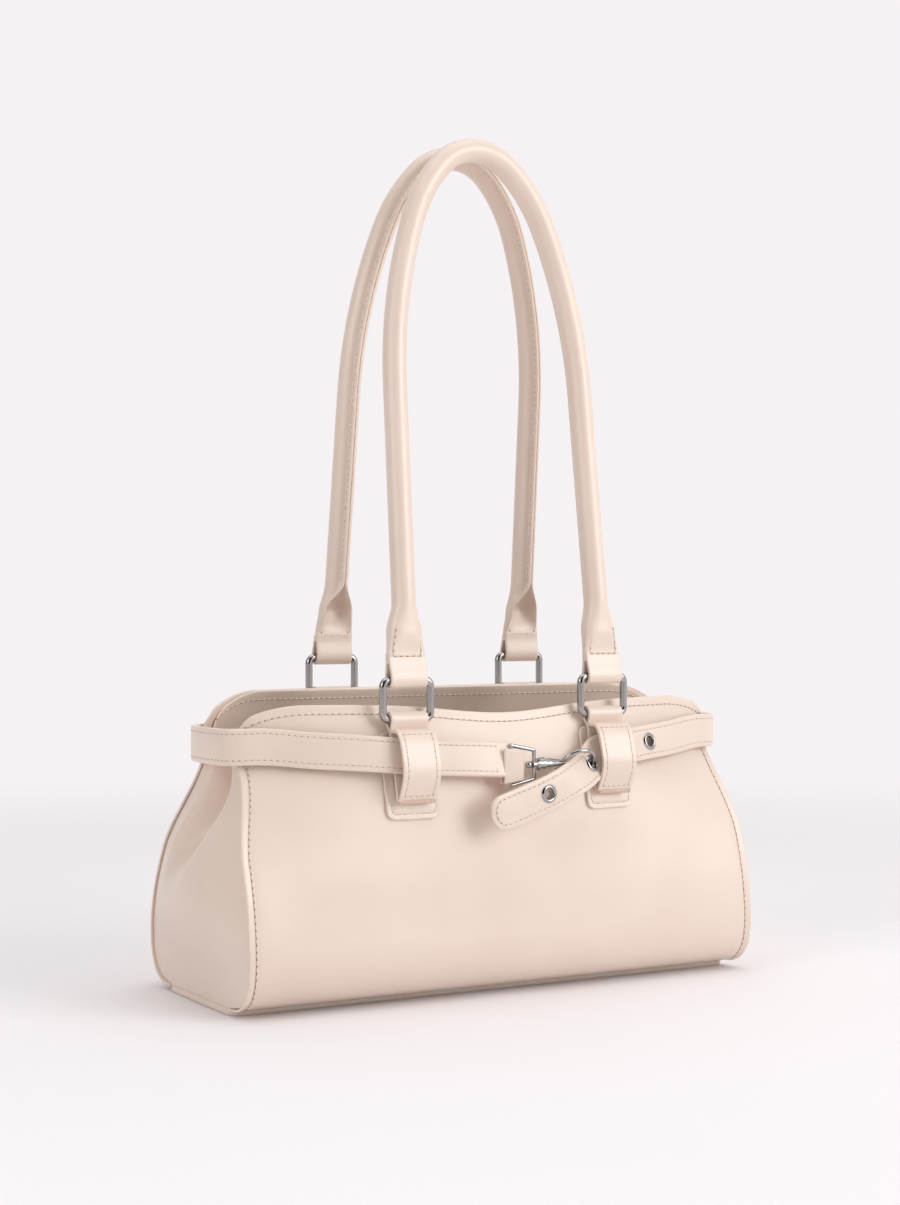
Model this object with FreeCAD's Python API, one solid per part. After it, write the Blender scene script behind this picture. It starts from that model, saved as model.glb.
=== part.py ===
import FreeCAD, Part
import math
import os

# Belted top handle bag. Millimetres, +Z up, the front faces -Y.
# The origin is the middle of the base, on the floor.

V = FreeCAD.Vector
FRONT = -1
BACK = 1
LEFT = -1
RIGHT = 1

# Body: two panels, two pleated gussets and a flat base
BAG_WIDTH = 290.0            # across the end seams, low down
MOUTH_WIDTH = 275.0          # across the end seams, at the belt and above
NARROW_START = 72.0          # height where the ends start to draw in
BASE_DEPTH = 81.0
BODY_DEPTH = 122.0           # at the belly, the deepest place
BELLY_HEIGHT = 30.0
BAG_HEIGHT = 151.0           # middle of the back rim
NECK_DROP = 34.0             # below the back rim, where the belt draws the ends together
NECK_DEPTH = 34.0            # between the end seams at the neck
MOUTH_DEPTH = 70.0           # between the panels in the middle of the rim
MIDDLE_BULGE = 2.0           # extra depth in the middle of a panel at the belly
TOP_LEAN = -9.0              # how far the soft top leans to the front
ROLL_POWER = 2.6             # how squarely the panels roll under to the base
NECK_POWER = 1.75            # how late the end seams draw in
MOUTH_POWER = 1.3            # how late the middle draws in
END_POWER = 3.0              # how close to the ends a panel curves back
PANEL_THICK = 2.0
LAYER_GAP = 0.2              # between sewn layers
SEAM_GAP = 0.4               # between a gusset edge and the panel over it

# Rim of the mouth
FRONT_RIM_DROP = 4.0         # front rim below the back one
RIM_END_DROP = 13.0          # ends of the rim below the middle of the back one
FRONT_RIM_DIP = 8.0          # sag in the middle of the front rim
RIM_DIP_WIDTH = 45.0
RIM_END_RUN = 32.0           # length over which the rim drops to the ends
FACING_DEPTH = 36.0
FACING_THICK = 1.4
LINING_THICK = 0.8
LINING_GAP = 1.2             # the lining hangs loose inside the gussets

# Gussets
GUSSET_THICK = 1.6
GUSSET_SET_IN = 1.5          # the panel edge stands this far past the gusset
GUSSET_BULGE = 11.0          # outward swell of the lower half
PLEAT_DEPTH = 30.0
PLEAT_START = 55.0           # height where the pleat starts
PLEAT_SHARE = 0.65           # share of the gusset width that folds in
LINING_PLEAT_SHARE = 1.0     # the lining folds in one wide curve

# Base
WELT_HEIGHT = 3.2
WELT_WIDTH = 5.0
WELT_CORNER = 9.0
WELT_ROUND = 1.2
BASE_THICK = 2.4
BOARD_THICK = 2.4

# Rings, and the straps folded round their lower bars
RING_SPACING = 114.0         # between the two rings of one handle
RING_WIRE = 3.8
RING_WIDTH = 30.0            # outside
RING_PITCH = 19.0            # between the middles of the two bars
RING_CORNER = 3.2            # bend radius at the middle of the wire
FRONT_BAR_DROP = 8.9         # lower bar of the front rings, below the front rim
BACK_BAR_DROP = 3.5          # and of the back rings, below the back rim
BAR_STANDOFF = 4.6           # lower bar out from the panel face
BAR_CLEARANCE = 0.35         # leather round a ring bar
STRAP_WIDTH = 20.0           # chapes and handle tabs
STRAP_THICK = 1.6
CHAPE_BACK = 2.9             # back of the chape, out from the panel face
CHAPE_LENGTH = 39.5          # below the ring bar
BELT_ROOM = 1.4              # above and below the belt in its loop
LOOP_DEPTH = 14.8            # outermost place of the belt loop, from the panel face
LOOP_TOP = 6.5               # where the belt loop starts to bow out, below the ring bar
PATCH_WIDTH = 28.6
PATCH_TOP = 6.5              # below the ring bar
PATCH_BOTTOM = 48.0          # below the ring bar
PATCH_THICK = 1.6
PATCH_CORNER = 4.5

# Handles
HANDLE_DIAMETER = 12.0
CORE_DIAMETER = 8.8
CORE_GAP = 0.1
FIN_HEIGHT = 4.0             # sewn edge standing on the inner side
FIN_THICK = 2.8
FRONT_HANDLE_RISE = 270.7    # ring bar to the middle of the crown
BACK_HANDLE_RISE = 261.0
FRONT_HANDLE_LEAN = 6.6      # degrees, towards the other handle
BACK_HANDLE_LEAN = 6.2
CROWN_RADIUS = 28.0
CROWN_ANGLE = 45.0
SHOULDER_RADIUS = 80.0
SHOULDER_ANGLE = 70.0
LEG_SPLAY = 1.0              # degrees
TAB_TOP = 20.0               # top of the flat tab, above the ring bar
TUBE_START = 39.0            # where the round handle starts, above the ring bar
TAB_THICK = 4.4
TAB_TUCK = 1.0               # the flat end runs this far into the round handle
TAB_STEP = 0.15              # and is this much thinner there

# Belt and its eyelets
BELT_WIDTH = 17.6
BELT_THICK = 3.0
BELT_END_DROP = 12.0         # belt below the ends of the rim, where it goes round them
BELT_FRONT_DROP = 19.6       # belt below the ring bar, at the chapes
BELT_CLASP_DROP = 23.6       # belt below the front ring bars, at the clasp
BELT_END_REACH = 145.0
BELT_TURN = 128.0            # where the belt leaves the panels to go round an end
BELT_STANDOFF = 3.4          # middle of the belt from the panel, near the ends
BELT_LOOP_STANDOFF = 7.1     # and in the chapes
BELT_FOLD_END = 1.6          # x of the folded left end, round the clasp loop
BELT_FOLD_LENGTH = 12.0
BELT_FOLD_POCKET = 7.4
BELT_FOLD_TAPER = 1.6        # each edge, over the folded length
BELT_STEPS = 96
TONGUE_REACH = 64.0          # tip of the tongue from the hooked eyelet, sideways
TONGUE_ROUND = 7.0
EYELET_HOLE = 5.2
EYELET_BARREL = 6.0
EYELET_FLANGE = 9.2
EYELET_RIM = 0.5
RIGHT_EYELET_X = 83.5

# Swivel snap hook. Lengths along its axis count from the loop bar beside the swivel.
CLASP_TILT = 46.0            # degrees, top of the hook towards the front
CLASP_OUT = 9.4              # swivel axis from the panel face
CLASP_LOOP_WIRE = 2.0
CLASP_LOOP_LENGTH = 13.5     # between the middles of the two upright bars
CLASP_LOOP_SHORT = 14.4      # height of the bar beside the swivel
LOOP_ROOM = 0.8              # between the belt edge and the loop's arms
CLASP_BAR_X = -5.7           # bar held in the folded end of the belt
BOSS_RADIUS = 1.9
BOSS_LENGTH = 2.2
PIN_RADIUS = 0.9
PIN_CLEARANCE = 0.08
PIN_HEAD_RADIUS = 1.8
PIN_END = 6.0
BELL_RADIUS = 3.5
BELL_LENGTH = 4.2
BODY_RADIUS = 2.9
BODY_END = 16.8
HOOK_MIDDLE = 25.3
HOOK_RADIUS = 9.2
HOOK_WIRE = 2.2
HOOK_START_ANGLE = 175.0
HOOK_END_ANGLE = -100.0
HOOKED_ANGLE = -12.0         # where the eyelet sits on the hook
GATE_HINGE_ANGLE = -155.0
GATE_TIP_ANGLE = -95.0
GATE_RADIUS = 1.0
GATE_GAP = 0.35              # between the closed gate and the hook's tip
GATE_EYE_RADIUS = 1.9
GATE_EYE_THICK = 2.2
CHEEK_THICK = 1.1
CHEEK_RADIUS = 2.1
CHEEK_GAP = 0.15
GATE_PIN_RADIUS = 0.75
GATE_PIN_CLEARANCE = 0.05
THUMB_RADIUS = 1.4
SPRING_RADIUS = 1.0
SPRING_WIRE = 0.4
SPRING_START = 6.8
SPRING_LENGTH = 6.4

# Magnetic snap inside the mouth
SNAP_RADIUS = 8.0
SNAP_THICK = 2.6
SNAP_BELOW_RIM = 25.0
STUD_RADIUS = 4.0
STUD_LENGTH = 2.0

NECK_HEIGHT = BAG_HEIGHT - NECK_DROP
FRONT_RIM_HEIGHT = BAG_HEIGHT - FRONT_RIM_DROP
RIM_END_HEIGHT = BAG_HEIGHT - RIM_END_DROP
FRONT_BAR_HEIGHT = FRONT_RIM_HEIGHT - FRONT_BAR_DROP
BACK_BAR_HEIGHT = BAG_HEIGHT - BACK_BAR_DROP
BELT_END_HEIGHT = RIM_END_HEIGHT - BELT_END_DROP
BELT_CLASP_HEIGHT = FRONT_BAR_HEIGHT - BELT_CLASP_DROP
CHAPE_X = RING_SPACING / 2
PANEL_FOOT = WELT_HEIGHT + SEAM_GAP
FOOT_HALF_DEPTH = BASE_DEPTH / 2 - WELT_WIDTH + 1
BAR_RADIUS = RING_WIRE / 2
EYE_BORE = BAR_RADIUS + BAR_CLEARANCE
EYE_RADIUS = EYE_BORE + STRAP_THICK
CUT = 400.0                  # longer than the bag, for cutting tools


def smooth(share):
    share = min(max(share, 0.0), 1.0)
    return share * share * (3 - 2 * share)


def spline(points):
    curve = Part.BSplineCurve()
    curve.interpolate(points)
    return curve.toShape()


def line(start, end):
    return Part.makeLine(start, end)


def end_of(edge, last):
    return edge.valueAt(edge.LastParameter if last else edge.FirstParameter)


def strip_wire(outside, inside):
    """Closed section of a sheet, between its outside and its inside curve."""
    over = line(end_of(outside, True), end_of(inside, False))
    under = line(end_of(inside, True), end_of(outside, False))
    return Part.Wire([outside, over, inside, under])


def lean(z):
    return TOP_LEAN * smooth((z - BELLY_HEIGHT) / (NECK_HEIGHT - BELLY_HEIGHT))


def half_width(z):
    narrowed = smooth((z - NARROW_START) / (NECK_HEIGHT - NARROW_START))
    return BAG_WIDTH / 2 - (BAG_WIDTH - MOUTH_WIDTH) / 2 * narrowed


def rolled_under(z, deepest):
    drop = min((BELLY_HEIGHT - z) / (BELLY_HEIGHT - PANEL_FOOT), 1.0)
    share = (1 - drop ** ROLL_POWER) ** (1 / ROLL_POWER)
    return FOOT_HALF_DEPTH + (deepest - FOOT_HALF_DEPTH) * share


def seam_half_depth(z):
    deepest = BODY_DEPTH / 2
    if z < BELLY_HEIGHT:
        return rolled_under(z, deepest)
    rise = min((z - BELLY_HEIGHT) / (NECK_HEIGHT - BELLY_HEIGHT), 1.0)
    return deepest - (deepest - NECK_DEPTH / 2) * rise ** NECK_POWER


def middle_half_depth(z):
    deepest = BODY_DEPTH / 2 + MIDDLE_BULGE
    if z < BELLY_HEIGHT:
        return rolled_under(z, deepest)
    rise = (z - BELLY_HEIGHT) / (BAG_HEIGHT - BELLY_HEIGHT)
    return deepest - (deepest - MOUTH_DEPTH / 2) * rise ** MOUTH_POWER


def reach(side, x, z):
    """Distance of a panel's outer face from the middle plane of the base."""
    share = min(abs(x) / (BAG_WIDTH / 2), 1.0) ** END_POWER
    half = middle_half_depth(z) * (1 - share) + seam_half_depth(z) * share
    return half + side * lean(z)


def face_slope(side, x, z):
    step = 0.2
    low = max(z - step, PANEL_FOOT)
    return (reach(side, x, z + step) - reach(side, x, low)) / (z + step - low)


def outward(side, x, z):
    slope = face_slope(side, x, z)
    return V(0, side, -slope).normalize()


def surface(side, x, z, out):
    """Point at a height of a panel's outer face, moved squarely out from it."""
    return V(x, side * reach(side, x, z), z) + outward(side, x, z) * out


def rim(side, x):
    ends = max(abs(x) - (MOUTH_WIDTH / 2 - RIM_END_RUN), 0.0) / RIM_END_RUN
    height = FRONT_RIM_HEIGHT if side == FRONT else BAG_HEIGHT
    dip = FRONT_RIM_DIP * math.exp(-(x / RIM_DIP_WIDTH) ** 2) if side == FRONT else 0.0
    return height - dip - (height - RIM_END_HEIGHT) * ends ** 2


def spread(low, high, count):
    return [low + (high - low) * i / (count - 1) for i in range(count)]


def cookie(face):
    """Outline in the front view, drawn through the whole bag."""
    face.translate(V(0, -CUT / 2, 0))
    return face.extrude(V(0, CUT, 0))


def seam_x(height, inset):
    """Where an edge whose height is given along x meets the end seam."""
    x = MOUTH_WIDTH / 2 - inset
    for _ in range(30):
        x = half_width(height(x)) - inset
    return x


def panel_outline(bottom, top, inset):
    """Cutter between two heights given along x, held inside the end seams."""
    low_end = seam_x(bottom, inset)
    high_end = seam_x(top, inset)
    under = spline([V(x, 0, bottom(x)) for x in spread(-low_end, low_end, 13)])
    over = spline([V(x, 0, top(x)) for x in spread(high_end, -high_end, 25)])
    heights = spread(bottom(low_end), top(high_end), 9)
    right = spline([V(half_width(z) - inset, 0, z) for z in heights])
    left = spline([V(inset - half_width(z), 0, z) for z in reversed(heights)])
    return cookie(Part.Face(Part.Wire([under, right, over, left])))


def rounded_outline(x, width, low, high, corner):
    block = Part.makeBox(width, CUT, high - low, V(x - width / 2, -CUT / 2, low))
    upright = [edge for edge in block.Edges if abs(edge.tangentAt(edge.FirstParameter).y) > 0.99]
    return block.makeFillet(corner, upright)


def skin(side, stations, levels, inner, outer, outline):
    """Sheet that follows a panel, between two distances out from its outer face."""
    wires = []
    for x in stations:
        outside = spline([surface(side, x, z, outer) for z in levels])
        inside = spline([surface(side, x, z, inner) for z in reversed(levels)])
        wires.append(strip_wire(outside, inside))
    return Part.makeLoft(wires, True, False).common(outline)


def panel_levels(top):
    shares = (0, 0.02, 0.06, 0.13, 0.25, 0.42, 0.68)
    rolled = [PANEL_FOOT + (BELLY_HEIGHT - PANEL_FOOT) * share for share in shares]
    return rolled + spread(BELLY_HEIGHT, top, 12)


END = BAG_WIDTH / 2
STATIONS = [END * share for share in (-1, -0.92, -0.8, -0.62, -0.4, 0, 0.4, 0.62, 0.8, 0.92, 1)]
TOP_LEVEL = BAG_HEIGHT + 6
GUSSET_SHARES = (-1, -0.88, -0.76, -0.65, -0.54, -0.42, -0.28, -0.14, 0,
                 0.14, 0.28, 0.42, 0.54, 0.65, 0.76, 0.88, 1)
INSIDE = -PANEL_THICK - LAYER_GAP


def panel(side):
    outline = panel_outline(lambda x: 0.0, lambda x: rim(side, x), 0.0)
    return skin(side, STATIONS, panel_levels(TOP_LEVEL), -PANEL_THICK, 0.0, outline)


def facing(side):
    def bottom(x):
        return rim(side, x) - FACING_DEPTH
    outline = panel_outline(bottom, lambda x: rim(side, x), GUSSET_SET_IN + GUSSET_THICK + SEAM_GAP)
    return skin(side, STATIONS, panel_levels(TOP_LEVEL), INSIDE - FACING_THICK, INSIDE, outline)


def panel_lining(side):
    def top(x):
        return rim(side, x) - FACING_DEPTH - SEAM_GAP
    outline = panel_outline(lambda x: 0.0, top, GUSSET_SET_IN + GUSSET_THICK + LINING_THICK + 3 * SEAM_GAP)
    return skin(side, STATIONS, panel_levels(TOP_LEVEL), INSIDE - LINING_THICK, INSIDE, outline)


def inside_half_depth(z, depth):
    """Half depth at the end seam, this far inside the panel's outer face."""
    lowest = surface(BACK, END, PANEL_FOOT, -depth)
    if z <= lowest.z:
        return FOOT_HALF_DEPTH - 3 * SEAM_GAP
    low = PANEL_FOOT
    high = z + depth
    for _ in range(40):
        middle = (low + high) / 2
        if surface(BACK, END, middle, -depth).z < z:
            low = middle
        else:
            high = middle
    return surface(BACK, END, low, -depth).y - lean(low) - SEAM_GAP / 2


def gusset_point(end, z, across, pleat_share, set_in):
    """Point of a side sheet's outer face; across runs from -1 at the front to 1 at the back."""
    half = inside_half_depth(z, PANEL_THICK + SEAM_GAP)
    pleated = smooth((z - PLEAT_START) / (NECK_HEIGHT - PLEAT_START))
    swell = GUSSET_BULGE * smooth((z - BELLY_HEIGHT / 2) / (BELLY_HEIGHT * 1.2)) * (1 - pleated)
    fold = 0.5 + 0.5 * math.cos(math.pi * min(abs(across) / pleat_share, 1.0))
    x = half_width(z) - set_in + swell * (1 - across ** 2) - PLEAT_DEPTH * pleated * fold
    return V(end * x, lean(z) + half * across, z)


def gusset_sheet(end, pleat_share, set_in, thick, short, top):
    """Side sheet with a pleat, its front and back edges cut short of the seams."""
    wires = []
    for z in panel_levels(top):
        outside = []
        inside = []
        for share in GUSSET_SHARES:
            across = share * (1 - short / inside_half_depth(z, PANEL_THICK + SEAM_GAP))
            here = gusset_point(end, z, across, pleat_share, set_in)
            before = gusset_point(end, z, across - 0.01, pleat_share, set_in)
            after = gusset_point(end, z, across + 0.01, pleat_share, set_in)
            along = (after - before).normalize()
            outside.append(here)
            inside.append(here + V(-end * along.y, end * along.x, 0) * thick)
        wires.append(strip_wire(spline(outside), spline(inside[::-1])))
    return Part.makeLoft(wires, True, True)


def gusset(end):
    return gusset_sheet(end, PLEAT_SHARE, GUSSET_SET_IN, GUSSET_THICK, 0.0, RIM_END_HEIGHT)


def gusset_lining(end):
    set_in = GUSSET_SET_IN + GUSSET_THICK + LINING_GAP
    short = FACING_THICK + 2 * LAYER_GAP
    return gusset_sheet(end, LINING_PLEAT_SHARE, set_in, LINING_THICK, short, RIM_END_HEIGHT - FACING_DEPTH / 2)


def rounded_plate(length, depth, low, high, corner):
    plate = Part.makeBox(length, depth, high - low, V(-length / 2, -depth / 2, low))
    upright = [edge for edge in plate.Edges if abs(edge.tangentAt(edge.FirstParameter).z) > 0.99]
    return plate.makeFillet(corner, upright)


def base_welt():
    outer = rounded_plate(BAG_WIDTH, BASE_DEPTH, 0, WELT_HEIGHT, WELT_CORNER)
    sides = [edge for edge in outer.Edges if abs(edge.CenterOfMass.z - WELT_HEIGHT) < 0.01]
    outer = outer.makeFillet(WELT_ROUND, sides)
    inner_corner = WELT_CORNER - WELT_WIDTH
    inner = rounded_plate(BAG_WIDTH - 2 * WELT_WIDTH, BASE_DEPTH - 2 * WELT_WIDTH, -1, CUT, inner_corner)
    return outer.cut(inner)


def inside_welt(low, high, gap):
    trim = 2 * (WELT_WIDTH + gap)
    return rounded_plate(BAG_WIDTH - trim, BASE_DEPTH - trim, low, high, WELT_CORNER - WELT_WIDTH)


def bar_height(side):
    return FRONT_BAR_HEIGHT if side == FRONT else BACK_BAR_HEIGHT


def bar_y(side):
    return side * (reach(side, CHAPE_X, bar_height(side)) + BAR_STANDOFF)


def patch(side, x):
    low = bar_height(side) - PATCH_BOTTOM
    high = bar_height(side) - PATCH_TOP
    outline = rounded_outline(x, PATCH_WIDTH, low, high, PATCH_CORNER)
    stations = spread(x - PATCH_WIDTH * 0.6, x + PATCH_WIDTH * 0.6, 5)
    levels = spread(low - 4, high + 4, 7)
    return skin(side, stations, levels, LAYER_GAP, LAYER_GAP + PATCH_THICK, outline)


def chape(side, x):
    """Strap folded round a ring bar; the belt runs behind its bowed front layer."""
    bar = bar_height(side)

    def at(out, below):
        return surface(side, CHAPE_X, bar - below, out) - V(CHAPE_X, 0, 0)

    eye = V(0, bar_y(side), bar)
    droop = math.radians(15)
    eye_back = eye + V(0, -side * math.cos(droop), -math.sin(droop)) * EYE_RADIUS
    eye_front = eye + V(0, side * math.cos(droop), -math.sin(droop)) * EYE_RADIUS
    over = Part.Arc(eye_back, eye + V(0, 0, EYE_RADIUS), eye_front).toShape()
    folded = CHAPE_BACK + 2 * STRAP_THICK
    bow = LOOP_DEPTH - folded
    back = spline([at(CHAPE_BACK, below) for below in spread(CHAPE_LENGTH, LOOP_TOP, 6)])
    rise = line(end_of(back, True), eye_back)
    half_loop = BELT_FRONT_DROP - LOOP_TOP
    bows = [(0, -half_loop), (0.5, -0.9 * half_loop), (0.9, -0.58 * half_loop), (1, 0),
            (0.94, 0.58 * half_loop), (0.62, half_loop), (0.24, 1.3 * half_loop),
            (0, CHAPE_LENGTH - BELT_FRONT_DROP)]
    front = spline([at(folded + bow * share, BELT_FRONT_DROP + below) for share, below in bows])
    drop = line(eye_front, end_of(front, False))
    foot = line(end_of(front, True), end_of(back, False))
    strap = Part.Face(Part.Wire([back, rise, over, drop, front, foot]))
    wall = CHAPE_BACK + STRAP_THICK
    room = LOOP_DEPTH - STRAP_THICK - wall
    slot_half = BELT_WIDTH / 2 + BELT_ROOM
    slot_foot = 1.6 * slot_half
    slots = [(0.66, -slot_half), (0.92, -0.5 * slot_half), (1, 0), (0.95, 0.5 * slot_half),
             (0.8, slot_half), (0.6, 1.25 * slot_half), (0.38, 1.42 * slot_half), (0, slot_foot)]
    slot_front = spline([at(wall + room * share, BELT_FRONT_DROP + below) for share, below in slots])
    slot_back = spline([at(wall, BELT_FRONT_DROP + below) for below in spread(slot_foot, -slot_half, 5)])
    slot_top = line(end_of(slot_back, True), end_of(slot_front, False))
    slot = Part.Face(Part.Wire([slot_top, slot_front, slot_back]))
    bore = Part.makeCylinder(EYE_BORE, CUT, eye - V(CUT / 2, 0, 0), V(1, 0, 0))
    strap = strap.cut(slot)
    strap.translate(V(x - STRAP_WIDTH / 2, 0, 0))
    return strap.extrude(V(STRAP_WIDTH, 0, 0)).cut(bore)


def ring(side, x):
    """Bent wire ring standing on the chape, its two bars along x."""
    half = (RING_WIDTH - RING_WIRE) / 2
    straight = half - RING_CORNER
    low = bar_height(side)
    high = low + RING_PITCH
    y = bar_y(side)
    bend = RING_CORNER * (1 - math.sqrt(0.5))
    edges = []
    corners = [(1, low, high), (1, high, low), (-1, high, low), (-1, low, high)]
    points = []
    for sign, near, far in corners:
        up = 1 if far > near else -1
        bar_end = V(x + sign * straight, y, near)
        middle = V(x + sign * (half - bend), y, near + up * bend)
        side_end = V(x + sign * half, y, near + up * RING_CORNER)
        turn = [bar_end, middle, side_end]
        points.append(turn if (sign > 0) == (up > 0) else turn[::-1])
    for index, turn in enumerate(points):
        edges.append(Part.Arc(*turn).toShape())
        edges.append(line(turn[2], points[(index + 1) % 4][0]))
    path = Part.Wire(edges)
    start = points[0][0]
    section = Part.Wire(Part.makeCircle(BAR_RADIUS, start, V(1, 0, 0)))
    return path.makePipeShell([section], True, True)


def handle_frame(side):
    """Foot of a handle on its ring bars, the way up along it, and the way to the other handle."""
    angle = math.radians(FRONT_HANDLE_LEAN if side == FRONT else BACK_HANDLE_LEAN)
    foot = V(0, bar_y(side), bar_height(side) + RING_PITCH)
    up = V(0, -side * math.sin(angle), math.cos(angle))
    inward = V(0, -side * math.cos(angle), -math.sin(angle))
    return foot, up, inward


def handle_path(side):
    """Middle line of the round part: leg, shoulder arcs, crown, and back down."""
    foot, up, inward = handle_frame(side)
    rise = FRONT_HANDLE_RISE if side == FRONT else BACK_HANDLE_RISE
    crown = math.radians(CROWN_ANGLE)
    shoulder = math.radians(SHOULDER_ANGLE)
    leg = math.radians(90 - LEG_SPLAY)
    splay = math.radians(LEG_SPLAY)

    def turned(start, radius, first, last):
        return (start[0] + radius * (math.sin(last) - math.sin(first)),
                start[1] + radius * (math.cos(first) - math.cos(last)))

    top = (0.0, 0.0)
    first = turned(top, CROWN_RADIUS, 0, crown)
    second = turned(first, SHOULDER_RADIUS, crown, shoulder)
    wide = math.sin(leg) - math.sin(shoulder)
    tall = math.cos(shoulder) - math.cos(leg)
    room = CHAPE_X - second[0] - (rise - second[1]) * math.tan(splay)
    flank_radius = room / (wide - tall * math.tan(splay))
    third = turned(second, flank_radius, shoulder, leg)
    foot_drop = rise - TUBE_START
    last = (third[0] + (foot_drop - third[1]) * math.tan(splay), foot_drop)
    middles = [turned(first, SHOULDER_RADIUS, crown, (crown + shoulder) / 2),
               turned(second, flank_radius, shoulder, (shoulder + leg) / 2)]

    def place(point, sign):
        return foot + V(sign * point[0], 0, 0) + up * (rise - point[1])

    edges = [line(place(last, -1), place(third, -1)),
             Part.Arc(place(third, -1), place(middles[1], -1), place(second, -1)).toShape(),
             Part.Arc(place(second, -1), place(middles[0], -1), place(first, -1)).toShape(),
             Part.Arc(place(first, -1), place(top, 1), place(first, 1)).toShape(),
             Part.Arc(place(first, 1), place(middles[0], 1), place(second, 1)).toShape(),
             Part.Arc(place(second, 1), place(middles[1], 1), place(third, 1)).toShape(),
             line(place(third, 1), place(last, 1))]
    return Part.Wire(edges)


def swept(path, section, binormal):
    sweep = Part.BRepOffsetAPI.MakePipeShell(path)
    sweep.setBiNormalMode(binormal)
    sweep.add(section)
    sweep.build()
    sweep.makeSolid()
    return sweep.shape()


def handle_core(side):
    foot, up, inward = handle_frame(side)
    path = handle_path(side)
    start = end_of(path.Edges[0], False)
    along = path.Edges[0].tangentAt(path.Edges[0].FirstParameter)
    return swept(path, Part.Wire(Part.makeCircle(CORE_DIAMETER / 2, start, along)), inward)


def handle_tab(side, x, tube_end):
    """Flat end of a handle: tube flattened to a double strap, folded round the ring bar."""
    foot, up, inward = handle_frame(side)
    width = V(STRAP_WIDTH / 2, 0, 0)
    half = inward * (TAB_THICK / 2)
    bar = foot + V(x, 0, 0)

    def plate(height):
        middle = bar + up * height
        corners = [middle - width - half, middle + width - half, middle + width + half, middle - width + half]
        return Part.makePolygon(corners + corners[:1])

    round_end = Part.Wire(Part.makeCircle(HANDLE_DIAMETER / 2 - TAB_STEP, tube_end + up * TAB_TUCK, up))
    flare = Part.makeLoft([plate(TAB_TOP), round_end], True, True)
    flat = Part.Face(plate(0.0)).extrude(up * TAB_TOP)
    eye = Part.makeCylinder(EYE_RADIUS, STRAP_WIDTH, bar - width, V(1, 0, 0))
    bore = Part.makeCylinder(EYE_BORE, CUT, bar - V(CUT / 2, 0, 0), V(1, 0, 0))
    return flat.fuse([flare, eye]).cut(bore)


def handle_cover(side):
    foot, up, inward = handle_frame(side)
    path = handle_path(side)
    first = path.Edges[0]
    start = end_of(first, False)
    along = first.tangentAt(first.FirstParameter)
    across = along.cross(inward)
    radius = HANDLE_DIAMETER / 2
    tube = swept(path, Part.Wire(Part.makeCircle(radius, start, along)), inward)
    fin_root = start + inward * (radius - 1)
    fin_top = start + inward * (radius + FIN_HEIGHT)
    half = across * (FIN_THICK / 2)
    corners = [fin_root - half, fin_root + half, fin_top + half, fin_top - half]
    fin = swept(path, Part.makePolygon(corners + corners[:1]), inward)
    hollow = swept(path, Part.Wire(Part.makeCircle(CORE_DIAMETER / 2 + CORE_GAP, start, along)), inward)
    finish = end_of(path.Edges[-1], True)
    tabs = [handle_tab(side, -CHAPE_X, start), handle_tab(side, CHAPE_X, finish)]
    return tube.fuse([fin] + tabs).cut(hollow)


def tilted(degrees):
    return V(0, -math.cos(math.radians(degrees)), math.sin(math.radians(degrees)))


def clasp_axis_point():
    """Middle of the loop bar beside the swivel."""
    x = CLASP_BAR_X + CLASP_LOOP_LENGTH
    return V(x, -reach(FRONT, x, BELT_CLASP_HEIGHT) - CLASP_OUT, BELT_CLASP_HEIGHT)


def clasp_place(along, up, across):
    """From clasp lengths (along its axis, in the hook's plane, square to it) to the bag."""
    tilt = math.radians(CLASP_TILT)
    hook_up = V(0, -math.sin(tilt), math.cos(tilt))
    hook_out = V(0, -math.cos(tilt), -math.sin(tilt))
    return clasp_axis_point() + V(along, 0, 0) + hook_up * up + hook_out * across


def on_hook(radius, degrees):
    angle = math.radians(degrees)
    return HOOK_MIDDLE + radius * math.cos(angle), radius * math.sin(angle)


def hooked_eyelet():
    along, up = on_hook(HOOK_RADIUS, HOOKED_ANGLE)
    return clasp_place(along, up, 0.0)


def belt_height(side, x):
    at_chape = bar_height(side) - BELT_FRONT_DROP
    middle = BELT_CLASP_HEIGHT if side == FRONT else at_chape
    if abs(x) < CHAPE_X:
        return middle + (at_chape - middle) * (abs(x) / CHAPE_X)
    share = (abs(x) - CHAPE_X) / (BELT_TURN - CHAPE_X)
    return at_chape + (BELT_END_HEIGHT - at_chape) * share


def belt_station(side, x):
    z = belt_height(side, x)
    away = smooth((abs(x) - CHAPE_X - STRAP_WIDTH / 2) / (BELT_TURN - CHAPE_X - STRAP_WIDTH))
    out = BELT_LOOP_STANDOFF + (BELT_STANDOFF - BELT_LOOP_STANDOFF) * away
    if side == FRONT:
        out += (CLASP_OUT - BELT_LOOP_STANDOFF) * smooth(1 - (abs(x) - BELT_FOLD_LENGTH) / (CHAPE_X / 2))
    return surface(side, x, z, out), outward(side, x, z)


def belt_turn(end):
    """The belt's way round one end of the bag, front to back."""
    half = abs(belt_station(FRONT, BELT_TURN)[0].y - lean(BELT_END_HEIGHT))
    stations = []
    for degrees in (-68, -45, -20, 0, 20, 45, 68):
        angle = math.radians(degrees)
        forward = math.copysign(abs(math.sin(angle)) ** 0.8, angle)
        x = BELT_TURN + (BELT_END_REACH - BELT_TURN) * math.cos(angle) ** 0.7
        point = V(end * x, lean(BELT_END_HEIGHT) + half * forward, BELT_END_HEIGHT)
        stations.append((point, V(end * math.cos(angle), math.sin(angle), 0)))
    return stations


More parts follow.
